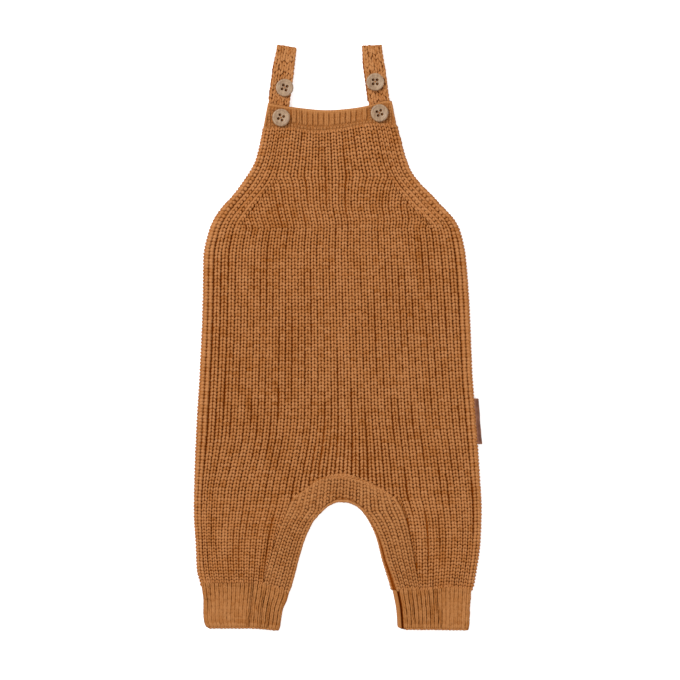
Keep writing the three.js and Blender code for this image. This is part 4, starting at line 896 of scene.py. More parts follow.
def sizes():
    """The sizes in use."""
    return bpy.context.scene.dungarees_sizes


# The pieces

GROUND_HEIGHT = 0.55
GROUND_RISE = 0.7
RIB_HEIGHTS = (1.15, 1.75, 0.4, 0.8)
LEAST_ROOM = 0.24
SIDE_SEAM_HEIGHT = 2.95


def grid(rows, cols):
    """Two grids of numbers from a row list and a column list."""
    return np.meshgrid(np.asarray(rows, float), np.asarray(cols, float), indexing="ij")


def flat_grid(rows, cols):
    """The same two grids, as plain lists of numbers."""
    return [values.ravel() for values in grid(rows, cols)]


def rib_room(rib, h):
    """The middle of what a rib has left, and how much that is as a share of a whole rib. Upright ribs end one
    after another at the armhole lines, and leg ribs at the inner-leg seams."""
    low, high = rib - 0.5, rib + 0.5
    upright = (rib > EDGE_RIBS) & (rib < BODY_RIBS - EDGE_RIBS)
    ended = ended_at_armhole(h)
    low = np.where(upright, np.maximum(low, EDGE_RIBS + ended), low)
    high = np.where(upright, np.minimum(high, BODY_RIBS - EDGE_RIBS - ended), high)
    _, ended = leg_ended(h)
    parted = np.clip((FORK_Y - h) / (FORK_Y - CROTCH_SIDE_Y), 0, 1) * ended
    in_left = (h < FORK_Y) & (rib < MIDDLE_RIB)
    in_right = (h < FORK_Y) & (rib > MIDDLE_RIB)
    high = np.where(in_left, np.minimum(high, LEFT_LEG_RIBS - parted), high)
    low = np.where(in_right, np.maximum(low, RIGHT_LEG_FIRST_RIB + parted), low)
    return (low + high) / 2, high - low


# Valleys between ribs that stand open like a dark line: rib number, height from and to, and how far
OPEN_VALLEYS = [
    (28, -150, -200, 1.3), (31, -146, -196, 1.6), (33, -150, -180, 0.8), (29, -112, -148, 1.3),
    (39, -120, -170, 1.4), (11, -40, -74, 1.4), (10, -64, -100, 1.0), (13, -150, -200, 1.3),
    (8, -165, -205, 0.9), (20, -20, -96, 0.8), (22, -40, -110, 0.9), (18, -70, -112, 0.7),
    (24, -60, -116, 0.8), (26, 40, -30, 0.9), (16, 60, 0, 0.8), (13, 20, -50, 0.9), (30, 60, -10, 0.8),
    (9, 90, 20, 0.8), (35, 80, 0, 0.7), (19, 160, 110, 0.8), (22, 165, 90, 0.9), (1, 160, -200, 0.5),
    (39, 160, -110, 0.5),
]


def openness(valley, h, seed):
    """How far a valley stands open: slow waves with a phase of their own for each valley, and the lines that
    are plain to see, which open and close softly."""
    phase = np.random.default_rng(seed).uniform(0, 2 * np.pi, (BODY_RIBS + 1, 3))[valley]
    slow = np.sin(h / 9.5 + phase[:, 0]) + np.sin(h / 17 + phase[:, 1]) + 0.8 * np.sin(phase[:, 2])
    opened = np.clip(0.2 + 0.28 * slow, 0, 1)
    for number, head, foot, far in OPEN_VALLEYS:
        ends = ease(head + 8, head - 8, h) * ease(foot - 8, foot + 8, h)
        opened = np.maximum(opened, far * ends * (valley == number))
    return opened


class DUNGAREES_OT_front(bpy.types.Operator):
    """Knit the front panel with its side seams"""

    bl_idname = "dungarees.front"
    bl_label = "Front panel"

    def execute(self, context):
        tone, size = colours(), sizes()
        rng = np.random.default_rng(11)
        course = size.course
        heights = np.arange(NECK_SEAM_Y, FOOT_Y - 0.1, -5.0)
        rows = np.unique(np.concatenate([heights, [FORK_Y, CROTCH_SIDE_Y, FOOT_Y]]))[::-1]
        fork = [LEFT_LEG_RIBS, RIGHT_LEG_FIRST_RIB]
        cols = np.unique(np.concatenate([np.arange(0, BODY_RIBS + 0.1, 0.25), [0.1, BODY_RIBS - 0.1], fork]))
        h, rib = grid(rows, cols)
        x, y = front(rib, h, ending=0.0, bent=1.0)
        floor = front_floor(x, y)
        crest = np.abs(np.sin(np.pi * rib)) ** 1.5
        top = np.stack([x, y, front_top(x, y) + GROUND_HEIGHT + GROUND_RISE * crest], -1)
        under = np.stack([x, y, floor - UNDERSIDE_SINK], -1)
        low = rows[:-1, None] <= FORK_Y
        between = (cols[:-1] >= LEFT_LEG_RIBS) & (cols[:-1] < RIGHT_LEG_FIRST_RIB)
        knit = np.stack([rib, h / course], -1)
        # The cloth is painted darker in the valleys between ribs, as painted shade
        cloth = wall("front_cloth", top, under, ~(low & between), knit, 0.15 + 0.45 * crest)
        # The ground cloth is seen only in the gaps between the stitches, so its colours are painted shade
        ground = knit_material("cotton_knit_ground", tone["ground_light"], tone["ground_dark"])
        sheet = new_piece("front_cloth", cloth, ground, ["front_panel"])

        yarn = Yarn()
        courses = np.arange(NECK_SEAM_Y + 0.7, FOOT_Y - 1.6, -course)
        stitch_h, stitch_rib = flat_grid(courses, np.arange(BODY_RIBS) + 0.5)
        numbers = stitch_rib.astype(int)
        stitch_rib, room = rib_room(stitch_rib, stitch_h)
        sx, sy = front(stitch_rib, stitch_h)
        on_arc = (sx > CROTCH_ARC["x"][0]) & (sx < CROTCH_ARC["x"][-1]) & (stitch_h > FORK_Y - 8)
        cut_off = on_arc & (sy < read(CROTCH_ARC, "y", sx) - 0.7)
        shown = (room > LEAST_ROOM) & ~cut_off & ((stitch_h > FOOT_Y) | (rng.random(len(room)) < 0.8))
        stitch_h, stitch_rib, room, numbers = (v[shown] for v in (stitch_h, stitch_rib, room, numbers))
        sx, sy = sx[shown], sy[shown]
        # Each rib's random tone and slow uneven tone, with painted shade down the pressed creases
        tone_and_painted_crease_shade = 0.06 * rng.standard_normal(BODY_RIBS)[numbers] - 0.5 * crease_depth(sx, sy)
        tone_and_painted_crease_shade = tone_and_painted_crease_shade + 0.06 * drift(sx, sy, 46)
        side = (numbers == 0) | (numbers == BODY_RIBS - 1)
        centre = ease(0, -90, sy) * ease(62, 20, np.abs(sx - 5)) * (stitch_h > FORK_Y)
        full = 1 + 0.035 * drift(sx, sy, 31) - 0.04 * centre + 0.1 * (stitch_h < FORK_Y) + 0.12 * side
        full = size.fullness * full
        widest = np.where(side, 8.5, WIDEST_RIB)
        rib_stitches(
            yarn, front, stitch_rib, stitch_h, course, rng, front_top, RIB_HEIGHTS,
            room=room, full=full, shade=tone_and_painted_crease_shade + 0.15 * side, widest=widest,
            open_sides=(openness(numbers, stitch_h, 5), openness(numbers + 1, stitch_h, 5)),
        )
        cotton = yarn_material("cotton_yarn", tone["yarn_light"], tone["yarn_dark"])
        stitches = yarn.pieces("front_stitches", cotton)

        edges = Yarn()
        down = np.linspace(178, -212, 400)
        for which, inward in (("left", 1), ("right", -1)):
            at_seam = np.full(len(down), SIDE_SEAM_HEIGHT)
            points = np.stack([read(SIDES, which, down) + 0.4 * inward, down, at_seam], -1)
            edge_stitches(edges, points, course, rng, 1.1, 1.8, 0.53, 0.33)
        seams = edges.pieces("side_seams", cotton)
        return {"FINISHED"}


def back_field(q, h):
    """The x and y of a place on the back panel. q is the rib number from the left side, and the ribs between
    the two of BACK_FORK_RIBS end at the crotch; h is the height, which the cuff seam bends in the legs."""
    inset = 0.5
    high = np.maximum(h, CROTCH_SIDE_Y)
    left, right = read(SIDES, "left", high) + inset, read(SIDES, "right", high) - inset
    flare = ease(0, CROTCH_SIDE_Y, high)
    first, last = BACK_FORK_RIBS
    inner_left = mix(mix(left, right, first / BODY_RIBS), CROTCH_EDGE["x"][0], flare)
    inner_right = mix(mix(left, right, last / BODY_RIBS), CROTCH_EDGE["x"][-1] - 0.8, flare)
    middle = (q - first) / (last - first)
    on_right = (q - last) / (BODY_RIBS - last)
    between = np.where(q >= last, mix(inner_right, right, on_right), mix(inner_left, inner_right, middle))
    x = np.where(q <= first, mix(left, inner_left, q / first), between)
    crotch = np.maximum(0, read(CROTCH_EDGE, "y", x) - CROTCH_SIDE_Y)
    y = high + neck_shift(x, high) + crotch * ease(-100, CROTCH_SIDE_Y, high)
    share = np.clip((CROTCH_SIDE_Y - h) / LEG_SPAN, 0, 1)

    def leg_x(at):
        on_left = q < MIDDLE_RIB
        outer = np.where(on_left, read(SIDES, "left", at) + inset, read(SIDES, "right", at) - inset)
        inner = np.where(on_left, read(INNER_EDGES, "left", at), read(INNER_EDGES, "right_back", at)) - inset
        return np.where(on_left, mix(outer, inner, q / first), mix(inner, outer, on_right))

    leg_y = mix(CROTCH_SIDE_Y, meet_cuff(leg_x), share)
    in_leg = share > 0
    return np.where(in_leg, leg_x(leg_y), x), np.where(in_leg, leg_y, y)


class DUNGAREES_OT_back(bpy.types.Operator):
    """Knit the back panel, whose outside lies on the floor"""

    bl_idname = "dungarees.back"
    bl_label = "Back panel"

    def execute(self, context):
        tone, size = colours(), sizes()
        rng = np.random.default_rng(12)
        course = size.course
        first, last = BACK_FORK_RIBS
        heights = np.arange(NECK_SEAM_Y, FOOT_Y - 0.1, -4.0)
        rows = np.unique(np.concatenate([heights, [CROTCH_SIDE_Y, FOOT_Y]]))[::-1]
        beside_edges = [0.15, first - 0.3, first - 0.15, last + 0.15, last + 0.3, BODY_RIBS - 0.15]
        cols = np.unique(np.concatenate([np.arange(0, BODY_RIBS + 0.1, 0.5), beside_edges]))
        h, q = grid(rows, cols)
        x, y = back_field(q, h)
        inner = np.where(h <= CROTCH_SIDE_Y, np.minimum(np.abs(q - first), np.abs(q - last)), 9)
        near = np.minimum(np.minimum(q, BODY_RIBS - q), inner)
        rounded = 1.1 * (1 - np.clip(near / 0.4, 0, 1)) ** 2
        ribs = 0.35 * np.abs(np.cos(np.pi * q))
        top = np.stack([x, y, BACK_WALL - rounded - 0.25 * np.abs(np.cos(np.pi * q))], -1)
        under = np.stack([x, y, 0.55 + 0.8 * rounded + ribs], -1)
        between = (cols[:-1] >= first) & (cols[:-1] < last)
        keep = ~((rows[:-1, None] <= CROTCH_SIDE_Y) & between)
        knit = np.stack([q, h / course], -1)
        # Painted shadow: the back cloth in the gap beside the front's inner-leg edge, which the front shades,
        # is painted dark
        painted_gap_shadow = (h < CROTCH_SIDE_Y) & (q > last + 0.25) & (q < last + 3)
        cloth = wall("back_cloth", top, under, keep, knit, np.where(painted_gap_shadow, 0.0, 0.8))
        inside = knit_material("cotton_knit_inside", tone["yarn_light"], tone["yarn_dark"])
        sheet = new_piece("back_cloth", cloth, inside, ["back_panel"])

        yarn = Yarn()
        courses = np.arange(NECK_SEAM_Y - 1.5, FOOT_Y + 1.2, -course)
        stitch_h, stitch_q = flat_grid(courses, np.arange(BODY_RIBS) + 0.5)
        shown = (stitch_h > CROTCH_SIDE_Y) | (stitch_q < first) | (stitch_q > last)
        stitch_h, stitch_q = stitch_h[shown], stitch_q[shown]

        def floor_side(x, y):
            return np.zeros(np.shape(x))

        heights, spread = (0.85, 0.75, -0.05, 0.48), (0.4, 0.09)
        rib_stitches(
            yarn, back_field, stitch_q, stitch_h, course, rng, floor_side, heights, spread, full=1.15
        )
        cotton = bpy.data.materials["cotton_yarn"]
        stitches = yarn.pieces("back_stitches", cotton, sides=4, rings=2)

        edges = Yarn()
        down = np.linspace(CROTCH_SIDE_Y, -214, 80)
        crotch_x = np.linspace(CROTCH_EDGE["x"][0], CROTCH_EDGE["x"][-1] - 0.8, 60)
        ends = np.full(len(down), 1.35)
        left = np.stack([read(INNER_EDGES, "left", down) - 1.2, down, ends], -1)
        right = np.stack([read(INNER_EDGES, "right_back", down) + 0.35, down, ends + 0.5], -1)
        arch = np.stack([crotch_x, read(CROTCH_EDGE, "y", crotch_x) + 1.0, np.full(60, 1.35)], -1)
        outline = np.concatenate([left[::-1], arch[1:-1], right])
        # The rim's yarn is painted lighter, painted light against the shade that the front casts on it
        edge_stitches(edges, outline, course, rng, 0.85, 1.1, 0.8, 0.06, 0.35)
        rims = edges.pieces("back_inner_rim", cotton)
        return {"FINISHED"}


GUSSET_RIBS = 16
GUSSET_LEG_RIBS = 5
GUSSET_RIGHT_RIB = GUSSET_RIBS - GUSSET_LEG_RIBS
GUSSET_BAND = 2.6

# Chains of stitches along the crotch arc: x from and to, how far inside the arc, half width and tilt
ARC_CHAINS = (
    (-19, 30, 0.3, 1.15, 0.32),
    (-19, 30, 2.2, 1.2, 0.32),
    (-34, -19, 0.5, 1.2, 0.24),
    (30, 46, 0.5, 1.2, 0.24),
)


def gusset_field(rib, t):
    """The x and y of a place on the gusset. t runs from 0 on the crotch arc to 1 on the crotch edge, and on
    to 2 down the inner legs, for the ribs that reach them."""
    rib, t = np.broadcast_arrays(np.asarray(rib, float), np.asarray(t, float))
    arc_x = mix(CROTCH_ARC["x"][0] + 0.4, CROTCH_ARC["x"][-1] - 0.4, rib / GUSSET_RIBS)
    arc_y = read(CROTCH_ARC, "y", arc_x) - TOUCH
    side = np.full(rib.shape, CROTCH_SIDE_Y)
    seam_left = read(GUSSET_SEAMS, "left", side) + TOUCH
    seam_right = read(GUSSET_SEAMS, "right", side) - TOUCH
    edge_left, edge_right = CROTCH_EDGE["x"][0], CROTCH_EDGE["x"][-1]
    left_share, right_share = rib / GUSSET_LEG_RIBS, (rib - GUSSET_RIGHT_RIB) / GUSSET_LEG_RIBS
    middle = mix(edge_left, edge_right, (rib - GUSSET_LEG_RIBS) / (GUSSET_RIGHT_RIB - GUSSET_LEG_RIBS))
    in_left, in_right = rib <= GUSSET_LEG_RIBS, rib >= GUSSET_RIGHT_RIB
    right_of_left = np.where(in_right, mix(edge_right, seam_right, right_share), middle)
    low_x = np.where(in_left, mix(seam_left, edge_left, left_share), right_of_left)
    low_y = np.where(in_left | in_right, CROTCH_SIDE_Y, read(CROTCH_EDGE, "y", middle))
    upper = np.clip(t, 0, 1)
    x, y = mix(arc_x, low_x, upper), mix(arc_y, low_y, upper)

    def across(at):
        left = mix(read(GUSSET_SEAMS, "left", at) + TOUCH, read(INNER_EDGES, "left", at), left_share)
        right = mix(read(INNER_EDGES, "right", at), read(GUSSET_SEAMS, "right", at) - TOUCH, right_share)
        return np.where(rib < GUSSET_RIBS / 2, left, right)

    leg_y = mix(CROTCH_SIDE_Y, meet_cuff(across), np.clip(t - 1, 0, 1))
    return np.where(t > 1, across(leg_y), x), np.where(t > 1, leg_y, y)


def gusset_top(x, y):
    """Height that the gusset's stitches are laid at."""
    return front_floor(x, y) - crease_depth(x, y)


class DUNGAREES_OT_gusset(bpy.types.Operator):
    """Knit the crotch gusset with its two inner-leg strips"""

    bl_idname = "dungarees.gusset"
    bl_label = "Crotch gusset"

    def execute(self, context):
        tone, size = colours(), sizes()
        rng = np.random.default_rng(13)
        course = size.course
        rows = np.concatenate([np.linspace(0, 1, 9), 1 + np.linspace(0, 1, 24)[1:]])
        cols = np.arange(0, GUSSET_RIBS + 0.1, 0.25)
        t, rib = grid(rows, cols)
        tan = knit_material("cotton_knit_gusset_ground", tone["gusset_light"], tone["gusset_dark"])
        x, y = gusset_field(rib, t)
        edge = np.where(t > 1, np.minimum(np.abs(rib - GUSSET_LEG_RIBS), np.abs(rib - GUSSET_RIGHT_RIB)), 9)
        in_middle = (rib >= GUSSET_LEG_RIBS) & (rib <= GUSSET_RIGHT_RIB)
        edge = np.where(in_middle & (t <= 1), (1 - t) * 4, edge)
        rounded = 0.9 * (1 - np.clip(edge / 0.5, 0, 1)) ** 2
        crest = np.abs(np.sin(np.pi * rib)) ** 1.5
        top = np.stack([x, y, gusset_top(x, y) + 0.6 + 0.8 * crest - 0.5 * rounded], -1)
        under = np.stack([x, y, front_floor(x, y) - UNDERSIDE_SINK + 0.2 * rounded], -1)
        between = (cols[:-1] >= GUSSET_LEG_RIBS) & (cols[:-1] < GUSSET_RIGHT_RIB)
        keep = ~((rows[:-1, None] >= 1) & between)
        knit = np.stack([rib, -y / course], -1)
        # The cloth is painted darker in the valleys between ribs, as painted shade
        cloth = wall("gusset_cloth", top, under, keep, knit, 0.5 * crest)
        sheet = new_piece("gusset_cloth", cloth, tan, ["crotch_gusset"])

        yarn = Yarn()
        for number in range(GUSSET_RIBS):
            in_leg = number < GUSSET_LEG_RIBS or number >= GUSSET_RIGHT_RIB
            line_t = np.linspace(0, 2 if in_leg else 1, 160)
            lx, ly = gusset_field(number + 0.5, line_t)
            length = np.concatenate([[0], np.cumsum(np.hypot(np.diff(lx), np.diff(ly)))])
            end = length[-1] + (1.2 if in_leg else -1.4)
            above = GUSSET_BAND * ease(3, 6, min(number, GUSSET_RIBS - 1 - number))
            h = -np.arange(above + 0.25 * course, end - course / 2, course)

            def along(rib, h, length=length, line_t=line_t):
                return gusset_field(rib, np.interp(-h, length, line_t))

            heights = (1.2, 1.75, 0.4, 0.78)
            body = np.full(len(h), number + 0.5)
            flank = ease(6, 3, min(number, GUSSET_RIBS - 1 - number)) * ease(34, 16, -h)
            full, paler = 1.0 + 0.16 * flank, 0.02 + 0.05 * flank
            rib_stitches(yarn, along, body, h, course, rng, gusset_top, heights, full=full, shade=paler)
        cotton = yarn_material("cotton_yarn_gusset", tone["gusset_light"], tone["gusset_dark"])
        stitches = yarn.pieces("gusset_stitches", cotton)

        edges = Yarn()
        down = np.linspace(CROTCH_SIDE_Y, -215, 80)
        crotch_x = np.linspace(CROTCH_EDGE["x"][0], CROTCH_EDGE["x"][-1], 60)
        left_x, right_x = read(INNER_EDGES, "left", down) - 0.9, read(INNER_EDGES, "right", down) + 0.9
        left = np.stack([left_x, down, gusset_top(left_x, down) + 1.1], -1)
        right = np.stack([right_x, down, gusset_top(right_x, down) + 1.1], -1)
        arch_y = read(CROTCH_EDGE, "y", crotch_x) + 0.9
        arch = np.stack([crotch_x, arch_y, gusset_top(crotch_x, arch_y) + 1.1], -1)
        outline = np.concatenate([left[::-1], arch[1:-1], right])
        edge_stitches(edges, outline, course, rng, 1.5, 1.3, 0.95, 0.04, 0.04)
        for first, last, inward, wide, tilt in ARC_CHAINS:
            arc_x = np.linspace(first, last, 90)
            arc_y = read(CROTCH_ARC, "y", arc_x) - inward
            seam = np.stack([arc_x, arc_y, gusset_top(arc_x, arc_y) + 1.55], -1)
            edge_stitches(edges, seam, 1.15 * course, rng, wide, 0.75, 0.66, tilt, -0.1)
        rims = edges.pieces("crotch_rim", cotton)
        return {"FINISHED"}


BAND_RIBS = 14
BAND_RIBS_X = (-39.4, 25.4)
BAND_SEAM_ENDS = (-63.6, 50.4)
BAND_TOP_ENDS = (-59.1, 46.2)
BAND_HEIGHT = 19.0
BAND_COURSE = 2.6
BACK_BAND_RISE = 0.7
PLAIN_COURSE = 2.2
PLAIN_PITCH = 0.6


def band_wall(name, is_front, columns, rows):
    """A neckband: a strip between the neck seam and the top edge, with ribs between a rolled top edge and a
    plain strip at the seam. Height across a rib is the size of a sine; the rolls are half waves."""
    rise, shorter = (0, 0) if is_front else (BACK_BAND_RISE, 0.8)
    s, t = np.meshgrid(np.linspace(0, 1, columns), np.linspace(1, 0, rows))
    left = mix(BAND_SEAM_ENDS[0] + shorter, BAND_TOP_ENDS[0] + shorter, t)
    right = mix(BAND_SEAM_ENDS[1] - shorter, BAND_TOP_ENDS[1] - shorter, t)
    x = mix(left, right, s)
    y = mix(read(NECK_SEAM, "y", x), read(NECK_TOP, "y", x) + rise, t)
    floor = BAND_WALL + SEAM_GAP + corner_lift(x, y) if is_front else np.full(x.shape, 0.06)
    rib = (x - BAND_RIBS_X[0]) / (BAND_RIBS_X[1] - BAND_RIBS_X[0]) * BAND_RIBS
    ribbed = ease(-0.1, 0.6, rib) * ease(BAND_RIBS + 0.1, BAND_RIBS - 0.6, rib)
    ribbed = ribbed * ease(0.26, 0.36, t) * ease(0.92, 0.84, t)
    wave = np.abs(np.sin(np.pi * rib)) ** 0.7 - 1
    # Painted shade: the cloth is painted darker in the valleys between ribs and under the plain stitches that
    # cover it
    covered = (1 - ribbed) * ease(0.02, 0.08, t) * ease(0.93, 0.86, t) * ease(0.0, 0.03, np.minimum(s, 1 - s))
    depth = 0.8 - 0.25 * ribbed * -wave - 0.3 * covered
    roll = 0.5 * np.sin(np.pi * np.clip((t - 0.78) / 0.24, 0, 1))
    roll = roll + 0.25 * np.sin(np.pi * np.clip(t / 0.17, 0, 1))
    ends = 1.1 * (1 - np.clip(np.minimum(s, 1 - s) / 0.012, 0, 1)) ** 2
    turned = 1.0 * (1 - np.clip((1 - t) / 0.08, 0, 1)) ** 2 + 0.6 * (1 - np.clip(t / 0.06, 0, 1)) ** 2
    z = floor + BAND_WALL - 0.2 + ribbed * (0.5 * wave - 0.35) + roll - ends - turned - 0.85 * covered
    top = np.stack([x, y, z], -1)
    under = np.stack([x, y, floor + 0.35 * turned], -1)
    knit = np.stack([rib, y / BAND_COURSE], -1)
    return wall(name, top, under, knit=knit, depth=depth)


def band_place(rise):
    """The x and y on a neckband from a rib number and the height above the neck seam."""

    def place(rib, h):
        x = mix(*BAND_RIBS_X, rib / BAND_RIBS)
        return x, mix(read(NECK_SEAM, "y", x), read(NECK_TOP, "y", x) + rise, h / BAND_HEIGHT)

    return place


class DUNGAREES_OT_neckbands(bpy.types.Operator):
    """Knit the two neckbands"""

    bl_idname = "dungarees.neckbands"
    bl_label = "Neckbands"

    def execute(self, context):
        tone = colours()
        cloth = knit_material("cotton_knit_band", tone["band_light"], tone["band_dark"], 0.45, 0.6)
        cotton = yarn_material("cotton_yarn_band", tone["band_light"], tone["band_dark"])
        for name, node_name, is_front, below in (
            ("neckband_front_cloth", "neckband_front", True, "strap_left_cloth"),
            ("neckband_back_cloth", "neckband_back", False, "floor"),
        ):
            mesh = band_wall(name, is_front, 260, 34)
            piece = new_piece(name, mesh, cloth, [node_name])
            rng = np.random.default_rng(31)
            base = BAND_WALL + SEAM_GAP if is_front else 0

            def surface(x, y, base=base, is_front=is_front):
                return base + is_front * corner_lift(x, y)

            yarn = Yarn()
            rise = 0 if is_front else BACK_BAND_RISE
            h, rib = flat_grid(np.arange(15.9, 7.0, -BAND_COURSE), np.arange(BAND_RIBS) + 0.5)
            heights, spread = (1.5, 1.75, 0.2, 0.7), (0.23, 0.12)
            place = band_place(rise)
            rib_stitches(
                yarn, place, rib, h, BAND_COURSE, rng, surface, heights, spread,
                full=1.12, shade=0.07, over=0.95,
            )
            h, rib = flat_grid(np.arange(17.2, 0.5, -PLAIN_COURSE), np.arange(-5.2, 19.4, PLAIN_PITCH))
            x, _ = place(rib, h)
            s = h / BAND_HEIGHT
            ends = (mix(-61.2, -57.2, s), mix(48.4, 44.4, s))
            plain = (x > ends[0]) & (x < ends[1]) & ((h < 5.4) | (rib < -0.4) | (rib > BAND_RIBS + 0.4))
            h, rib = h[plain], rib[plain]
            small, close = (1.45, 1.8, 0.15, 0.58), (0.25, 0.08)
            rib_stitches(
                yarn, place, rib, h, PLAIN_COURSE, rng, surface, small, close,
                room=PLAIN_PITCH, full=0.96, shade=0.14, over=0.64,
            )
            across = np.linspace(-57.5, 45, 120)
            top = read(NECK_TOP, "y", across) + rise - 1.35
            up = np.linspace(0, 1, 20)
            left = np.stack([mix(-62.1, -58.2, up), mix(177.6, 196.4, up)], -1)
            right = np.stack([mix(45.4, 49.2, up), mix(198.4, 180, up)], -1)
            outline = np.concatenate([left, np.stack([across, top], -1), right])
            rim = np.column_stack([outline, surface(*outline.T) + 1.5])
            edge_stitches(yarn, rim, BAND_COURSE, rng, 1.25, 1.0, 0.85, 0.07, 0.0)
            stitches = yarn.pieces(f"{node_name}_stitches", cotton)
        return {"FINISHED"}


STRAP_WIDTH = 17.3
STRAP_COLUMNS = 4
STRAP_END_Y = 181.5
FOLD_RADIUS = STRAP_WALL + SEAM_GAP / 2
STRAPS = (
    {"name": "strap_left", "x_fold": -42.9, "y_fold": 248.6, "x_end": -52.1, "slope": -0.16, "shift": -1.4},
    {"name": "strap_right", "x_fold": 28.9, "y_fold": 249.4, "x_end": 38, "slope": 0.03, "shift": -1.3},
)


def strap_field(strap, at, run, radius):
    """A point on a strap, and the way out from it. at is the column, 0 to 4; run is the length from the front
    end: up on the front, half a turn round the fold, and down behind; radius is the distance from the fold's
    middle line, on either side of it."""
    across = (at / STRAP_COLUMNS - 0.5) * STRAP_WIDTH
    across = across * (1 - 0.07 * ease(-26, 2, run + STRAP_END_Y - strap["y_fold"]))
    lean = (strap["x_end"] - strap["x_fold"]) / (STRAP_END_Y - strap["y_fold"])
    fold_y = strap["y_fold"] - FOLD_RADIUS + strap["slope"] * across
    front_run = fold_y - STRAP_END_Y
    arc = np.pi * FOLD_RADIUS
    angle = np.clip((run - front_run) / arc, 0, 1) * np.pi
    up_y, up_z = np.sin(angle), np.cos(angle)
    y = np.where(run < front_run, STRAP_END_Y + run, fold_y - np.maximum(0, run - front_run - arc))
    shift = strap["shift"] * np.clip((run - front_run - arc) / 14, 0, 1)
    x = strap["x_fold"] + lean * (y - strap["y_fold"]) + across + shift
    point = np.stack([x, y + radius * up_y, FOLD_RADIUS + radius * up_z], -1)
    return point, np.stack([np.zeros(np.shape(up_y)), up_y, up_z], -1)


class DUNGAREES_OT_straps(bpy.types.Operator):
    """Knit the two shoulder straps, each folded over at the top"""

    bl_idname = "dungarees.straps"
    bl_label = "Shoulder straps"

    def execute(self, context):
        tone, size = colours(), sizes()
        course = size.strap_course
        # The strap cloth is seen only between the stitches, so it is painted dark throughout, as painted
        # shade
        inside = knit_material("cotton_knit_strap", tone["band_dark"], tone["ground_dark"], 0.7)
        cotton = yarn_material("cotton_yarn_strap", tone["strap_light"], tone["strap_dark"])
        for number, strap in enumerate(STRAPS):
            rng = np.random.default_rng(20 + number)
            foot = read(NECK_TOP, "y", strap["x_end"] + strap["shift"]) + BACK_BAND_RISE + 2 * SEAM_GAP
            fold_y = strap["y_fold"] - FOLD_RADIUS
            whole = fold_y - STRAP_END_Y + np.pi * FOLD_RADIUS + fold_y - foot
            run, at = grid(np.linspace(whole, 0, 90), np.linspace(0.14, STRAP_COLUMNS - 0.14, 17))
            edge = np.clip(np.minimum(at, STRAP_COLUMNS - at) / 0.45, 0, 1)
            outer, _ = strap_field(strap, at, run, FOLD_RADIUS - 0.75 - 0.7 * (1 - edge) ** 2)
            inner, _ = strap_field(strap, at, run, np.full(at.shape, SEAM_GAP / 2))
            knit = np.stack([at, run / course], -1)
            mesh = wall(f"{strap['name']}_cloth", inner, outer, knit=knit, depth=0.2)
            sheet = new_piece(f"{strap['name']}_cloth", mesh, inside, [strap["name"]])

            yarn = Yarn()
            rounds = int(whole / course)
            spots = (np.arange(rounds) + 0.5) * whole / rounds
            for column in range(STRAP_COLUMNS):
                for hand in (-1, 1):
                    jitter = rng.standard_normal((rounds, 2)) * 0.07
                    start_at = column + 0.5 + hand * 0.43 + jitter[:, 0]
                    end_at = column + 0.5 + hand * 0.07 + jitter[:, 1]
                    half = 0.72 * course
                    slip = 0.5 * rng.standard_normal(rounds) + 0.4 * course * (column % 2)
                    low = np.clip(spots + half + slip, 0, whole)
                    high = np.clip(spots - half + slip, 0, whole)
                    deep = 0.5 + 0.1 * rng.standard_normal(rounds)
                    front_run = fold_y - STRAP_END_Y
                    deep = deep - 0.35 * np.exp(-(((spots - front_run - 4) / 5) ** 2))
                    deep = np.maximum(deep, 1.15 * ease(front_run + 3, front_run + 9, spots))
                    start, _ = strap_field(strap, start_at, low, FOLD_RADIUS - deep - 0.1)
                    end, _ = strap_field(strap, end_at, high, FOLD_RADIUS - deep)
                    _, up = strap_field(strap, start_at, spots, FOLD_RADIUS)
                    shade = np.clip(0.5 + 0.28 * rng.standard_normal(rounds), 0, 1)
                    wide = 0.29 * STRAP_WIDTH / STRAP_COLUMNS * (1 + 0.1 * rng.standard_normal(rounds))
                    yarn.lay(start, end, wide, 0.68, 0.35, up, shade)
            for side in (0, STRAP_COLUMNS):
                inward = 0.1 if side == 0 else -0.1
                half, lean = 0.6 * course, 0.09
                ends = []
                for k in (-1, 1):
                    edge_at = np.full(rounds, side + inward + k * lean)
                    point, _ = strap_field(strap, edge_at, np.clip(spots + k * half, 0, whole), 1.3)
                    ends.append(point)
                _, up = strap_field(strap, np.full(rounds, float(side)), spots, FOLD_RADIUS)
                yarn.lay(*ends, 0.95, 1.15, 0.15, up, 0.55)
            stitches = yarn.pieces(f"{strap['name']}_stitches", cotton, sides=6, rings=4)
        return {"FINISHED"}


CUFF_RIB_PITCH = 3.7
CUFF_SLIT = 0.4
CUFF_RIM = 2.2
CUFF_COURSE = 2.75
CUFF_TOP = BACK_WALL + SEAM_GAP + FRONT_WALL
CUFFS = (
    {
        "name": "cuff_left",
        "step": 0.0,
        "edges": table(
            "y left right",
            [
                (-208.7, -116.2, -41.5), (-216, -115.2, -43), (-226.5, -114, -46.4), (-237, -113.8, -48),
                (-244, -113.4, -48.9), (-247.4, -110.8, -50.2),
            ],
        ),
        "hem": table("x y", [(-113.4, -245), (-109, -247.6), (-76, -247.6), (-50.6, -249.5)]),
    },
    {
        "name": "cuff_right",
        "step": 5.4,
        "edges": table(
            "y left right",
            [
                (-214.8, 46.8, 114), (-222, 48.2, 113.2), (-231, 49.8, 112.6), (-240, 50.6, 112.2),
                (-246, 50.9, 111.9), (-248, 51.2, 111.4),
            ],
        ),
        "hem": table("x y", [(51, -246.6), (57, -248.6), (84, -248.8), (111.8, -249.2)]),
    },
)


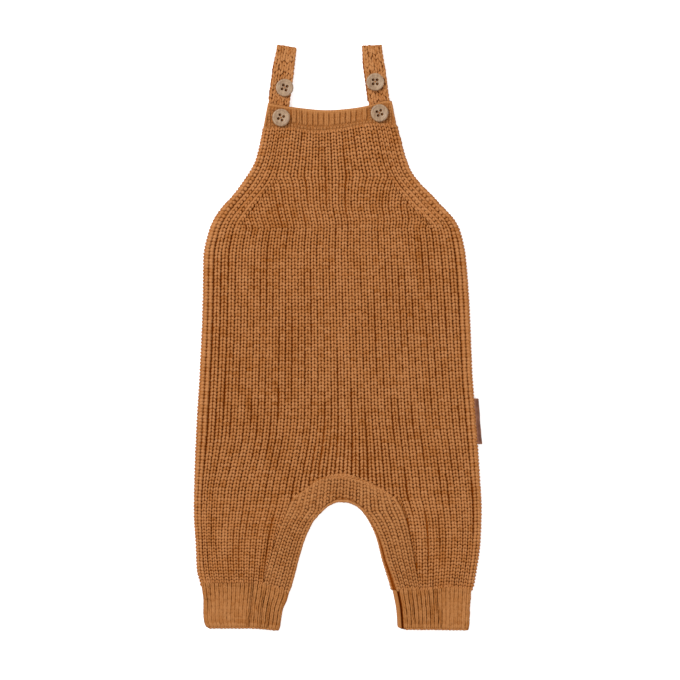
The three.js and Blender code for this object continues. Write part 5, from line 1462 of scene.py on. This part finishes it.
def cuff_grids(cuff):
    """Outer and inner grid of a flattened ribbed tube. A row runs from the left edge over the top to the
    right edge and back below. Height across a rib is the size of a sine, and it fades towards the seam and
    the hem."""
    edges, hem = cuff["edges"], cuff["hem"]
    first, last = edges["y"][-1], edges["y"][0]
    width = edges["right"][-1] - edges["left"][-1]
    ribs = round((width - cuff["step"]) / CUFF_RIB_PITCH)
    down = np.linspace(0, 1, 40)[:, None]
    key = mix(first, last, down)
    left, right = read(edges, "left", key), read(edges, "right", key)

    def y_at(x):
        return mix(read(CUFF_SEAM, "y", x), read(hem, "y", x), down)

    start = left + cuff["step"]
    share = np.linspace(0, 1, 8 * ribs + 1)[None, :]
    x = mix(start, right, share)
    y = y_at(x)
    rib = share * ribs
    uneven = 1 + 0.25 * np.sin(1.9 * rib + 0.7) * np.sin(0.6 * rib)
    fade = mix(0.35, 1, ease(0, 0.12, down) * ease(1, 0.9, down))
    wave = 0.85 * uneven * fade * (np.abs(np.sin(np.pi * rib)) ** 0.8 - 0.6)
    inside = np.minimum(x - start, right - x)
    rounded = 1.7 * (1 - np.clip(inside / 2.2, 0, 1)) ** 2
    hem_turn = 0.9 * ease(0.93, 1, down)
    hem_roll = 0.35 * np.sin(np.pi * np.clip((down - 0.8) / 0.2, 0, 1))
    z = CUFF_TOP - 0.7 + 0.6 * wave - 1.2 * crease_depth(x, y) - 0.8 * rounded - hem_turn + hem_roll
    # Painted shade: depth darkens the cloth in the valleys between ribs and down the creases
    depth = [np.clip(0.5 + 0.5 * wave - 0.5 * crease_depth(x, y), 0, 1)]
    over = [np.stack(np.broadcast_arrays(x, y, z), -1)]
    slit_left, slit_right = start + CUFF_RIM, right - CUFF_RIM
    if cuff["step"]:
        ledge = np.linspace(0, 1, 13)[None, :-1]
        lx = mix(left + 0.3, start - 0.1, ledge)
        groove = 1.8 * ease(0.62, 0.92, ledge)
        lz = BACK_WALL - 0.7 * (1 - np.clip(ledge / 0.25, 0, 1)) ** 2 - groove + 0 * down
        over.insert(0, np.stack(np.broadcast_arrays(lx, y_at(lx), lz), -1))
        # Painted shade: the ledge's groove is painted dark
        depth.insert(0, 0.8 - 1.1 * ease(0.58, 0.76, ledge) + 0 * down)
    back = np.linspace(1, 0, 4 * ribs + 1)[None, :]
    bx = mix(left, right, back)
    near = np.minimum(bx - left, right - bx)
    ridge = np.abs(np.sin(np.pi * back * ribs))
    bz = 1.3 * (1 - np.clip(near / 1.8, 0, 1)) ** 2 + 0.35 * (1 - ridge) + 0.0 * down
    over.append(np.stack(np.broadcast_arrays(bx, y_at(bx), bz), -1))
    depth.append(ridge + 0 * down)
    outer = np.concatenate(over, 1)
    count = outer.shape[1]
    split = count - back.shape[1]
    up_share = np.linspace(0, 1, split)[None, :]
    down_share = np.linspace(1, 0, count - split)[None, :]
    sx = np.concatenate([mix(slit_left, slit_right, share) for share in (up_share, down_share)], 1)
    sz = np.concatenate([np.full(split, BACK_WALL + CUFF_SLIT), np.full(count - split, BACK_WALL)])
    sz = sz[None, :] + 0 * down
    inner = np.stack(np.broadcast_arrays(sx, y_at(sx), sz), -1)
    return outer, inner, ribs, np.concatenate(depth, 1)


def knit_cuff(yarn, cuff, ribs, rng):
    """Narrow ribs of small stitches over the outside of a cuff, in front and behind, and a chain at its
    hem."""
    edges, hem, course = cuff["edges"], cuff["hem"], CUFF_COURSE
    first, last = edges["y"][-1], edges["y"][0]
    length = first - last - 1.5

    def place(rib, h):
        down = np.clip(-h / length, -0.05, 1)
        key = mix(first, last, down)
        left = read(edges, "left", key) + cuff["step"]
        x = mix(left, read(edges, "right", key), rib / ribs)
        return x, mix(read(CUFF_SEAM, "y", x) + 1.2, read(hem, "y", x) + 0.8, down)

    def over(x, y):
        inside = np.minimum(x - read(edges, "left", y) - cuff["step"], read(edges, "right", y) - x)
        rounded = 1.5 * (1 - np.clip(inside / 2.4, 0, 1)) ** 2
        below_seam = 0.5 * ease(-4, 0, y - read(CUFF_SEAM, "y", x))
        return CUFF_TOP - 0.7 - rounded - 1.1 * crease_depth(x, y) - below_seam

    h, rib = flat_grid(np.arange(0.6, -length + 0.4, -course), np.arange(ribs) + 0.5)
    x, y = place(rib, h)
    # Each rib's random tone, painted shade down the creases, and slow uneven tone
    shade = 0.1 * rng.standard_normal(ribs)[rib.astype(int)]
    shade = shade - 0.55 * crease_depth(x, y) + 0.1 * drift(x, y, 24)
    heights, spread = (0.5, 0.6, 0.05, 0.62), (0.23, 0.17)
    smooth = ease(-66, -86, x) * ease(-206, -234, y) + ease(80, 97, x) * ease(-208, -228, y)
    rolled = ease(-length + 3.4, -length + 1.2, h)
    shade = shade + 0.12 * rolled - 0.9 * ease(1.9, 0.5, np.abs(h + length - 4.2)) * (1 + drift(x, y, 21)) / 2
    full = 1.14 + 0.5 * smooth + 0.11 * drift(x, y, 17) + 0.3 * rolled
    shade = shade + 0.06 * smooth
    rib_stitches(yarn, place, rib, h, course, rng, over, heights, spread, full=full, shade=shade, over=1.05)
    foot = np.linspace(0.03, 0.97, 60) * ribs
    hem_x, hem_y = place(foot, np.full(60, -length))
    hem_line = np.column_stack([hem_x, hem_y + 0.2, over(hem_x, hem_y) + 0.15])
    edge_stitches(yarn, hem_line, 3.1, rng, 1.15, 0.9, 0.62, 0.14, 0.1)

    def under(x, y):
        return np.full(np.shape(x), 0.25)

    rib_stitches(yarn, place, rib, h, course, rng, under, (0.3, 0.3, 0.0, 0.45), spread, full=1.1)


class DUNGAREES_OT_cuffs(bpy.types.Operator):
    """Knit the two ribbed leg cuffs"""

    bl_idname = "dungarees.cuffs"
    bl_label = "Leg cuffs"

    def execute(self, context):
        tone = colours()
        cloth = knit_material("cotton_knit_cuff", tone["cuff_light"], tone["ground_dark"], 0.3, 0.4)
        cotton = yarn_material("cotton_yarn_cuff", tone["cuff_light"], tone["cuff_dark"])
        for cuff, length in zip(CUFFS, (0.039, 0.034)):
            outer, inner, ribs, depth = cuff_grids(cuff)
            rows, cols = outer.shape[:2]
            v, u = grid(np.linspace(0, 14, rows), np.linspace(0, 2 * ribs, cols + 1)[:-1])
            mesh = tube(f"{cuff['name']}_cloth", outer, inner, np.stack([u, v], -1), 2 * ribs, depth)
            piece = new_piece(f"{cuff['name']}_cloth", mesh, cloth, [cuff["name"]])
            yarn = Yarn()
            knit_cuff(yarn, cuff, ribs, np.random.default_rng(41))
            stitches = yarn.pieces(f"{cuff['name']}_stitches", cotton)
        return {"FINISHED"}


BUTTONS = (
    {"name": "button_upper_left", "x": -44.9, "y": 212.2, "turn": -18},
    {"name": "button_lower_left", "x": -47.9, "y": 186.6, "turn": -24},
    {"name": "button_upper_right", "x": 32, "y": 217.1, "turn": 0},
    {"name": "button_lower_right", "x": 35.6, "y": 190.5, "turn": 18},
)
BUTTON_PROFILE = (
    (6.5, 0), (7.1, 0.3), (7.45, 0.9), (7.5, 1.6), (7.42, 2.2), (7.15, 2.7), (6.75, 2.96), (6.3, 3.0),
    (5.85, 2.93), (5.5, 2.72), (5.2, 2.52), (4.9, 2.5), (4.6, 2.56), (4.3, 2.5), (3.95, 2.3), (3.4, 2.2),
    (2.4, 2.16), (1.2, 2.15),
)
HOLE_RADIUS = 1.15
HOLE_SPACING = 3.4
BUTTON_MIDDLE = BUTTON_PROFILE[-1][1]
HOLE_PROFILE = ((HOLE_RADIUS, -1), (HOLE_RADIUS, 2.0), (HOLE_RADIUS + 0.35, 2.6), (HOLE_RADIUS + 0.35, 4))


def turned_body(name, profile, sides, floor_z, top_z):
    """A profile turned about the Z axis, closed by its middle below and above."""
    angle = np.arange(sides) * 2 * np.pi / sides
    rings = np.array([[(r * math.cos(a), r * math.sin(a), z) for a in angle] for r, z in profile])
    rows, cols = rings.shape[:2]
    ids = np.arange(rows * cols).reshape(rows, cols)
    turned = np.roll(ids, -1, axis=1)
    skin = np.stack([ids[:-1], turned[:-1], turned[1:], ids[1:]], -1).reshape(-1, 4)
    low, high = rows * cols, rows * cols + 1
    caps = [
        np.stack([turned[0], ids[0], np.full(cols, low)], -1),
        np.stack([ids[-1], turned[-1], np.full(cols, high)], -1),
    ]
    faces = np.concatenate([skin[:, [0, 1, 2]], skin[:, [0, 2, 3]], *caps])
    points = np.concatenate([rings.reshape(-1, 3), [(0, 0, floor_z), (0, 0, top_z)]])
    return new_mesh(name, points, faces)


def cut(piece, cutters):
    """Cuts bodies out of a piece, and takes the result into its mesh."""
    for cutter in cutters:
        tool = piece.modifiers.new("cut", "BOOLEAN")
        tool.operation, tool.solver, tool.object = "DIFFERENCE", "EXACT", cutter
    shape = piece.evaluated_get(bpy.context.evaluated_depsgraph_get())
    made = bpy.data.meshes.new_from_object(shape)
    piece.modifiers.clear()
    piece.data = made
    for cutter in cutters:
        bpy.data.objects.remove(cutter)


class DUNGAREES_OT_buttons(bpy.types.Operator):
    """Turn the four buttons, bore their holes and sew them on"""

    bl_idname = "dungarees.buttons"
    bl_label = "Buttons"

    def execute(self, context):
        tone = colours()
        horn = button_material("polyester_horn_look", tone["button_light"], tone["button_dark"])
        thread = yarn_material("cotton_sewing_thread", tone["yarn_light"], tone["thread_dark"])
        for button in BUTTONS:
            low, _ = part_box(button["name"])
            seat = low.z / MM
            mesh = turned_body(f"{button['name']}_turned", BUTTON_PROFILE, 72, 0, BUTTON_MIDDLE)
            piece = new_piece(f"{button['name']}_turned", mesh, horn, [button["name"]])
            holes = []
            for sx in (-1, 1):
                for sy in (-1, 1):
                    hole = turned_body("hole", HOLE_PROFILE, 20, -1, 4)
                    cutter = bpy.data.objects.new("hole", hole)
                    bpy.context.scene.collection.objects.link(cutter)
                    cutter.location = (sx * HOLE_SPACING / 2 * MM, sy * HOLE_SPACING / 2 * MM, 0)
                    holes.append(cutter)
            bpy.context.view_layer.update()
            cut(piece, holes)
            turn = math.radians(button["turn"])
            cosine, sine = math.cos(turn), math.sin(turn)
            spin = np.array([[cosine, -sine, 0], [sine, cosine, 0], [0, 0, 1]])
            place = np.array([button["x"], button["y"], seat])
            points = np.zeros(len(piece.data.vertices) * 3, np.float32)
            piece.data.vertices.foreach_get("co", points)
            moved = points.reshape(-1, 3) @ spin.T + place * MM
            piece.data.vertices.foreach_set("co", moved.astype(np.float32).ravel())
            piece.data.polygons.foreach_set("use_smooth", np.ones(len(piece.data.polygons), bool))
            piece.data.set_sharp_from_angle(angle=math.radians(38))
            piece.data.update()

            yarn = Yarn()
            reach = HOLE_SPACING / 2
            for k, corner in enumerate(((-1, -1), (-1, 1))):
                for offset in (-0.16, 0.16):
                    aside = np.array([-corner[1], corner[0], 0]) * offset
                    start = np.array([corner[0] * reach * 0.4, corner[1] * reach * 0.4, 2.1]) + aside
                    end = np.array([-corner[0] * reach * 0.4, -corner[1] * reach * 0.4, 2.1]) + aside
                    start, end = start @ spin.T + place, end @ spin.T + place
                    yarn.lay(start[None], end[None], 0.24, 0.2, 0.15 + 0.1 * k, shade=0.4)
            holes = np.array([(-1, -1), (-1, 1), (1, -1), (1, 1)]) * reach
            low = np.column_stack([holes, np.full(4, 0.1)]) @ spin.T + place
            high = np.column_stack([holes * 0.9, np.full(4, 1.5)]) @ spin.T + place
            # Dark strands down in the holes, painted as the shade inside them
            yarn.lay(low, high, 0.95, 0.95, 0.0, (1, 0, 0), 0.0)
            yarn.pieces(f"{button['name']}_thread", thread, sides=8, rings=9)
        return {"FINISHED"}


LABEL = {"head": -51.8, "foot": -90.8, "reach": 4.6, "leather": 1.05, "inside": 0.4, "clear": 0.3}


class DUNGAREES_OT_label(bpy.types.Operator):
    """Fold the bare leather label into the side seam"""

    bl_idname = "dungarees.label"
    bl_label = "Leather label"

    def execute(self, context):
        tone = colours()
        leather = leather_material("leather", tone["leather_light"], tone["leather_dark"])
        half = LABEL["leather"] + LABEL["inside"] / 2
        turn = np.linspace(np.pi / 2, -np.pi / 2, 15)
        outer_x = np.concatenate([[0, 1.2, 2.4], LABEL["reach"] - half + half * np.cos(turn), [2.4, 1.2, 0]])
        outer_z = np.concatenate([[half] * 3, half * np.sin(turn), [-half] * 3])
        small = LABEL["inside"] / 2
        inner_x = np.concatenate([[0, 1.2, 2.4], LABEL["reach"] - half + small * np.cos(turn), [2.4, 1.2, 0]])
        inner_z = np.concatenate([[small] * 3, small * np.sin(turn), [-small] * 3])
        y = np.linspace(LABEL["head"], LABEL["foot"], 40)[:, None]
        wavy = 0.12 * np.sin(y / 5.2) + 0.08 * np.sin(y / 2.1 + 1)
        edge = read(SIDES, "right", y) + LABEL["clear"] - 0.6
        end = np.minimum(y - LABEL["foot"], LABEL["head"] - y)
        thin = 1 - 0.25 * (1 - np.clip(end / 0.8, 0, 1)) ** 2

        def skin(px, pz):
            x = edge + (px[None] + 0.6 * (px[None] < 2)) + wavy * px[None] / 4
            return np.stack(np.broadcast_arrays(x, y, BACK_WALL + pz[None] * thin), -1)

        mesh = wall("side_label_leather", skin(outer_x, outer_z), skin(inner_x, inner_z))
        piece = new_piece("side_label_leather", mesh, leather, ["side_label"])
        return {"FINISHED"}


CAMERA_HEIGHT = 2.0
VIEW_WIDTH = 0.578
SENSOR = 36.0
CAMERA_PLACE = (0.0021, -0.0021)
CLOTH_HEIGHT = 0.006
FLOOR_HALF = 2500
FLOOR_GLOW = 0.55
ROOM_LIGHT = 0.62

# Each light: its name, place in metres, power in watts and width in metres
LIGHTS = (
    ("key_light", (-1.1, 1.0, 1.7), 34, 0.9),
    ("fill_light", (1.4, -0.7, 1.6), 10, 1.4),
)


class DUNGAREES_OT_stage(bpy.types.Operator):
    """Set up the floor, the soft light and the camera straight above"""

    bl_idname = "dungarees.stage"
    bl_label = "Floor, light and camera"

    def execute(self, context):
        scene = context.scene
        scene.view_settings.view_transform = "Standard"
        corners = np.array([(-1, -1, 0), (1, -1, 0), (1, 1, 0), (-1, 1, 0)], float) * FLOOR_HALF
        floor = bpy.data.objects.new("floor", new_mesh("floor", corners, np.array([[0, 1, 2, 3]])))
        scene.collection.objects.link(floor)
        material, tree, shader, place = new_material("matt_white_board")
        speck = ranged(tree, noise(tree, place, 3.0), 0.3, 0.7, 0.97, 1.0)
        white = blend(tree, speck, tuple(c * 0.97 for c in colours()["floor"]), colours()["floor"])
        board = {"Base Color": white, "Roughness": 0.9}
        set_inputs(tree, shader, {**board, "Emission Color": white, "Emission Strength": FLOOR_GLOW})
        floor.data.materials.append(material)

        world = bpy.data.worlds.new("soft_room")
        scene.world = world
        world.use_nodes = True
        background = world.node_tree.nodes["Background"]
        background.inputs["Color"].default_value = (1.0, 1.0, 1.0, 1)
        background.inputs["Strength"].default_value = ROOM_LIGHT
        for name, spot, power, width in LIGHTS:
            data = bpy.data.lights.new(name, "AREA")
            data.energy, data.size = power, width
            light = bpy.data.objects.new(name, data)
            scene.collection.objects.link(light)
            light.location = spot
            light.rotation_mode = "QUATERNION"
            light.rotation_quaternion = light.location.to_track_quat("Z", "Y")
        data = bpy.data.cameras.new("camera")
        data.sensor_width = SENSOR
        data.lens = SENSOR * (CAMERA_HEIGHT - CLOTH_HEIGHT) / VIEW_WIDTH
        camera = bpy.data.objects.new("camera", data)
        camera.location = (*CAMERA_PLACE, CAMERA_HEIGHT)
        scene.collection.objects.link(camera)
        scene.camera = camera
        return {"FINISHED"}


OPERATORS = (
    DUNGAREES_OT_stage,
    DUNGAREES_OT_front,
    DUNGAREES_OT_back,
    DUNGAREES_OT_gusset,
    DUNGAREES_OT_straps,
    DUNGAREES_OT_neckbands,
    DUNGAREES_OT_cuffs,
    DUNGAREES_OT_buttons,
    DUNGAREES_OT_label,
)


class DUNGAREES_PT_panel(bpy.types.Panel):
    """Sizes, colours and the pieces of the dungarees"""

    bl_idname = "DUNGAREES_PT_panel"
    bl_label = "Knitted dungarees"
    bl_space_type = "VIEW_3D"
    bl_region_type = "UI"
    bl_category = "Dungarees"

    def draw(self, context):
        layout = self.layout
        for group in (context.scene.dungarees_sizes, context.scene.dungarees_colours):
            box = layout.box()
            for key in type(group).__annotations__:
                box.prop(group, key)
        for operator in OPERATORS:
            layout.operator(operator.bl_idname)


CLASSES = (DungareesColours, DungareesSizes, *OPERATORS, DUNGAREES_PT_panel)


def register():
    """Makes the settings, operators and panel known to Blender."""
    for item in CLASSES:
        bpy.utils.register_class(item)
    bpy.types.Scene.dungarees_colours = bpy.props.PointerProperty(type=DungareesColours)
    bpy.types.Scene.dungarees_sizes = bpy.props.PointerProperty(type=DungareesSizes)


def unregister():
    """Takes them away again."""
    del bpy.types.Scene.dungarees_sizes
    del bpy.types.Scene.dungarees_colours
    for item in reversed(CLASSES):
        bpy.utils.unregister_class(item)


def main():
    """Knits the whole garment."""
    register()
    for operator in OPERATORS:
        family, name = operator.bl_idname.split(".")
        getattr(getattr(bpy.ops, family), name)()


if __name__ == "__main__":
    main()
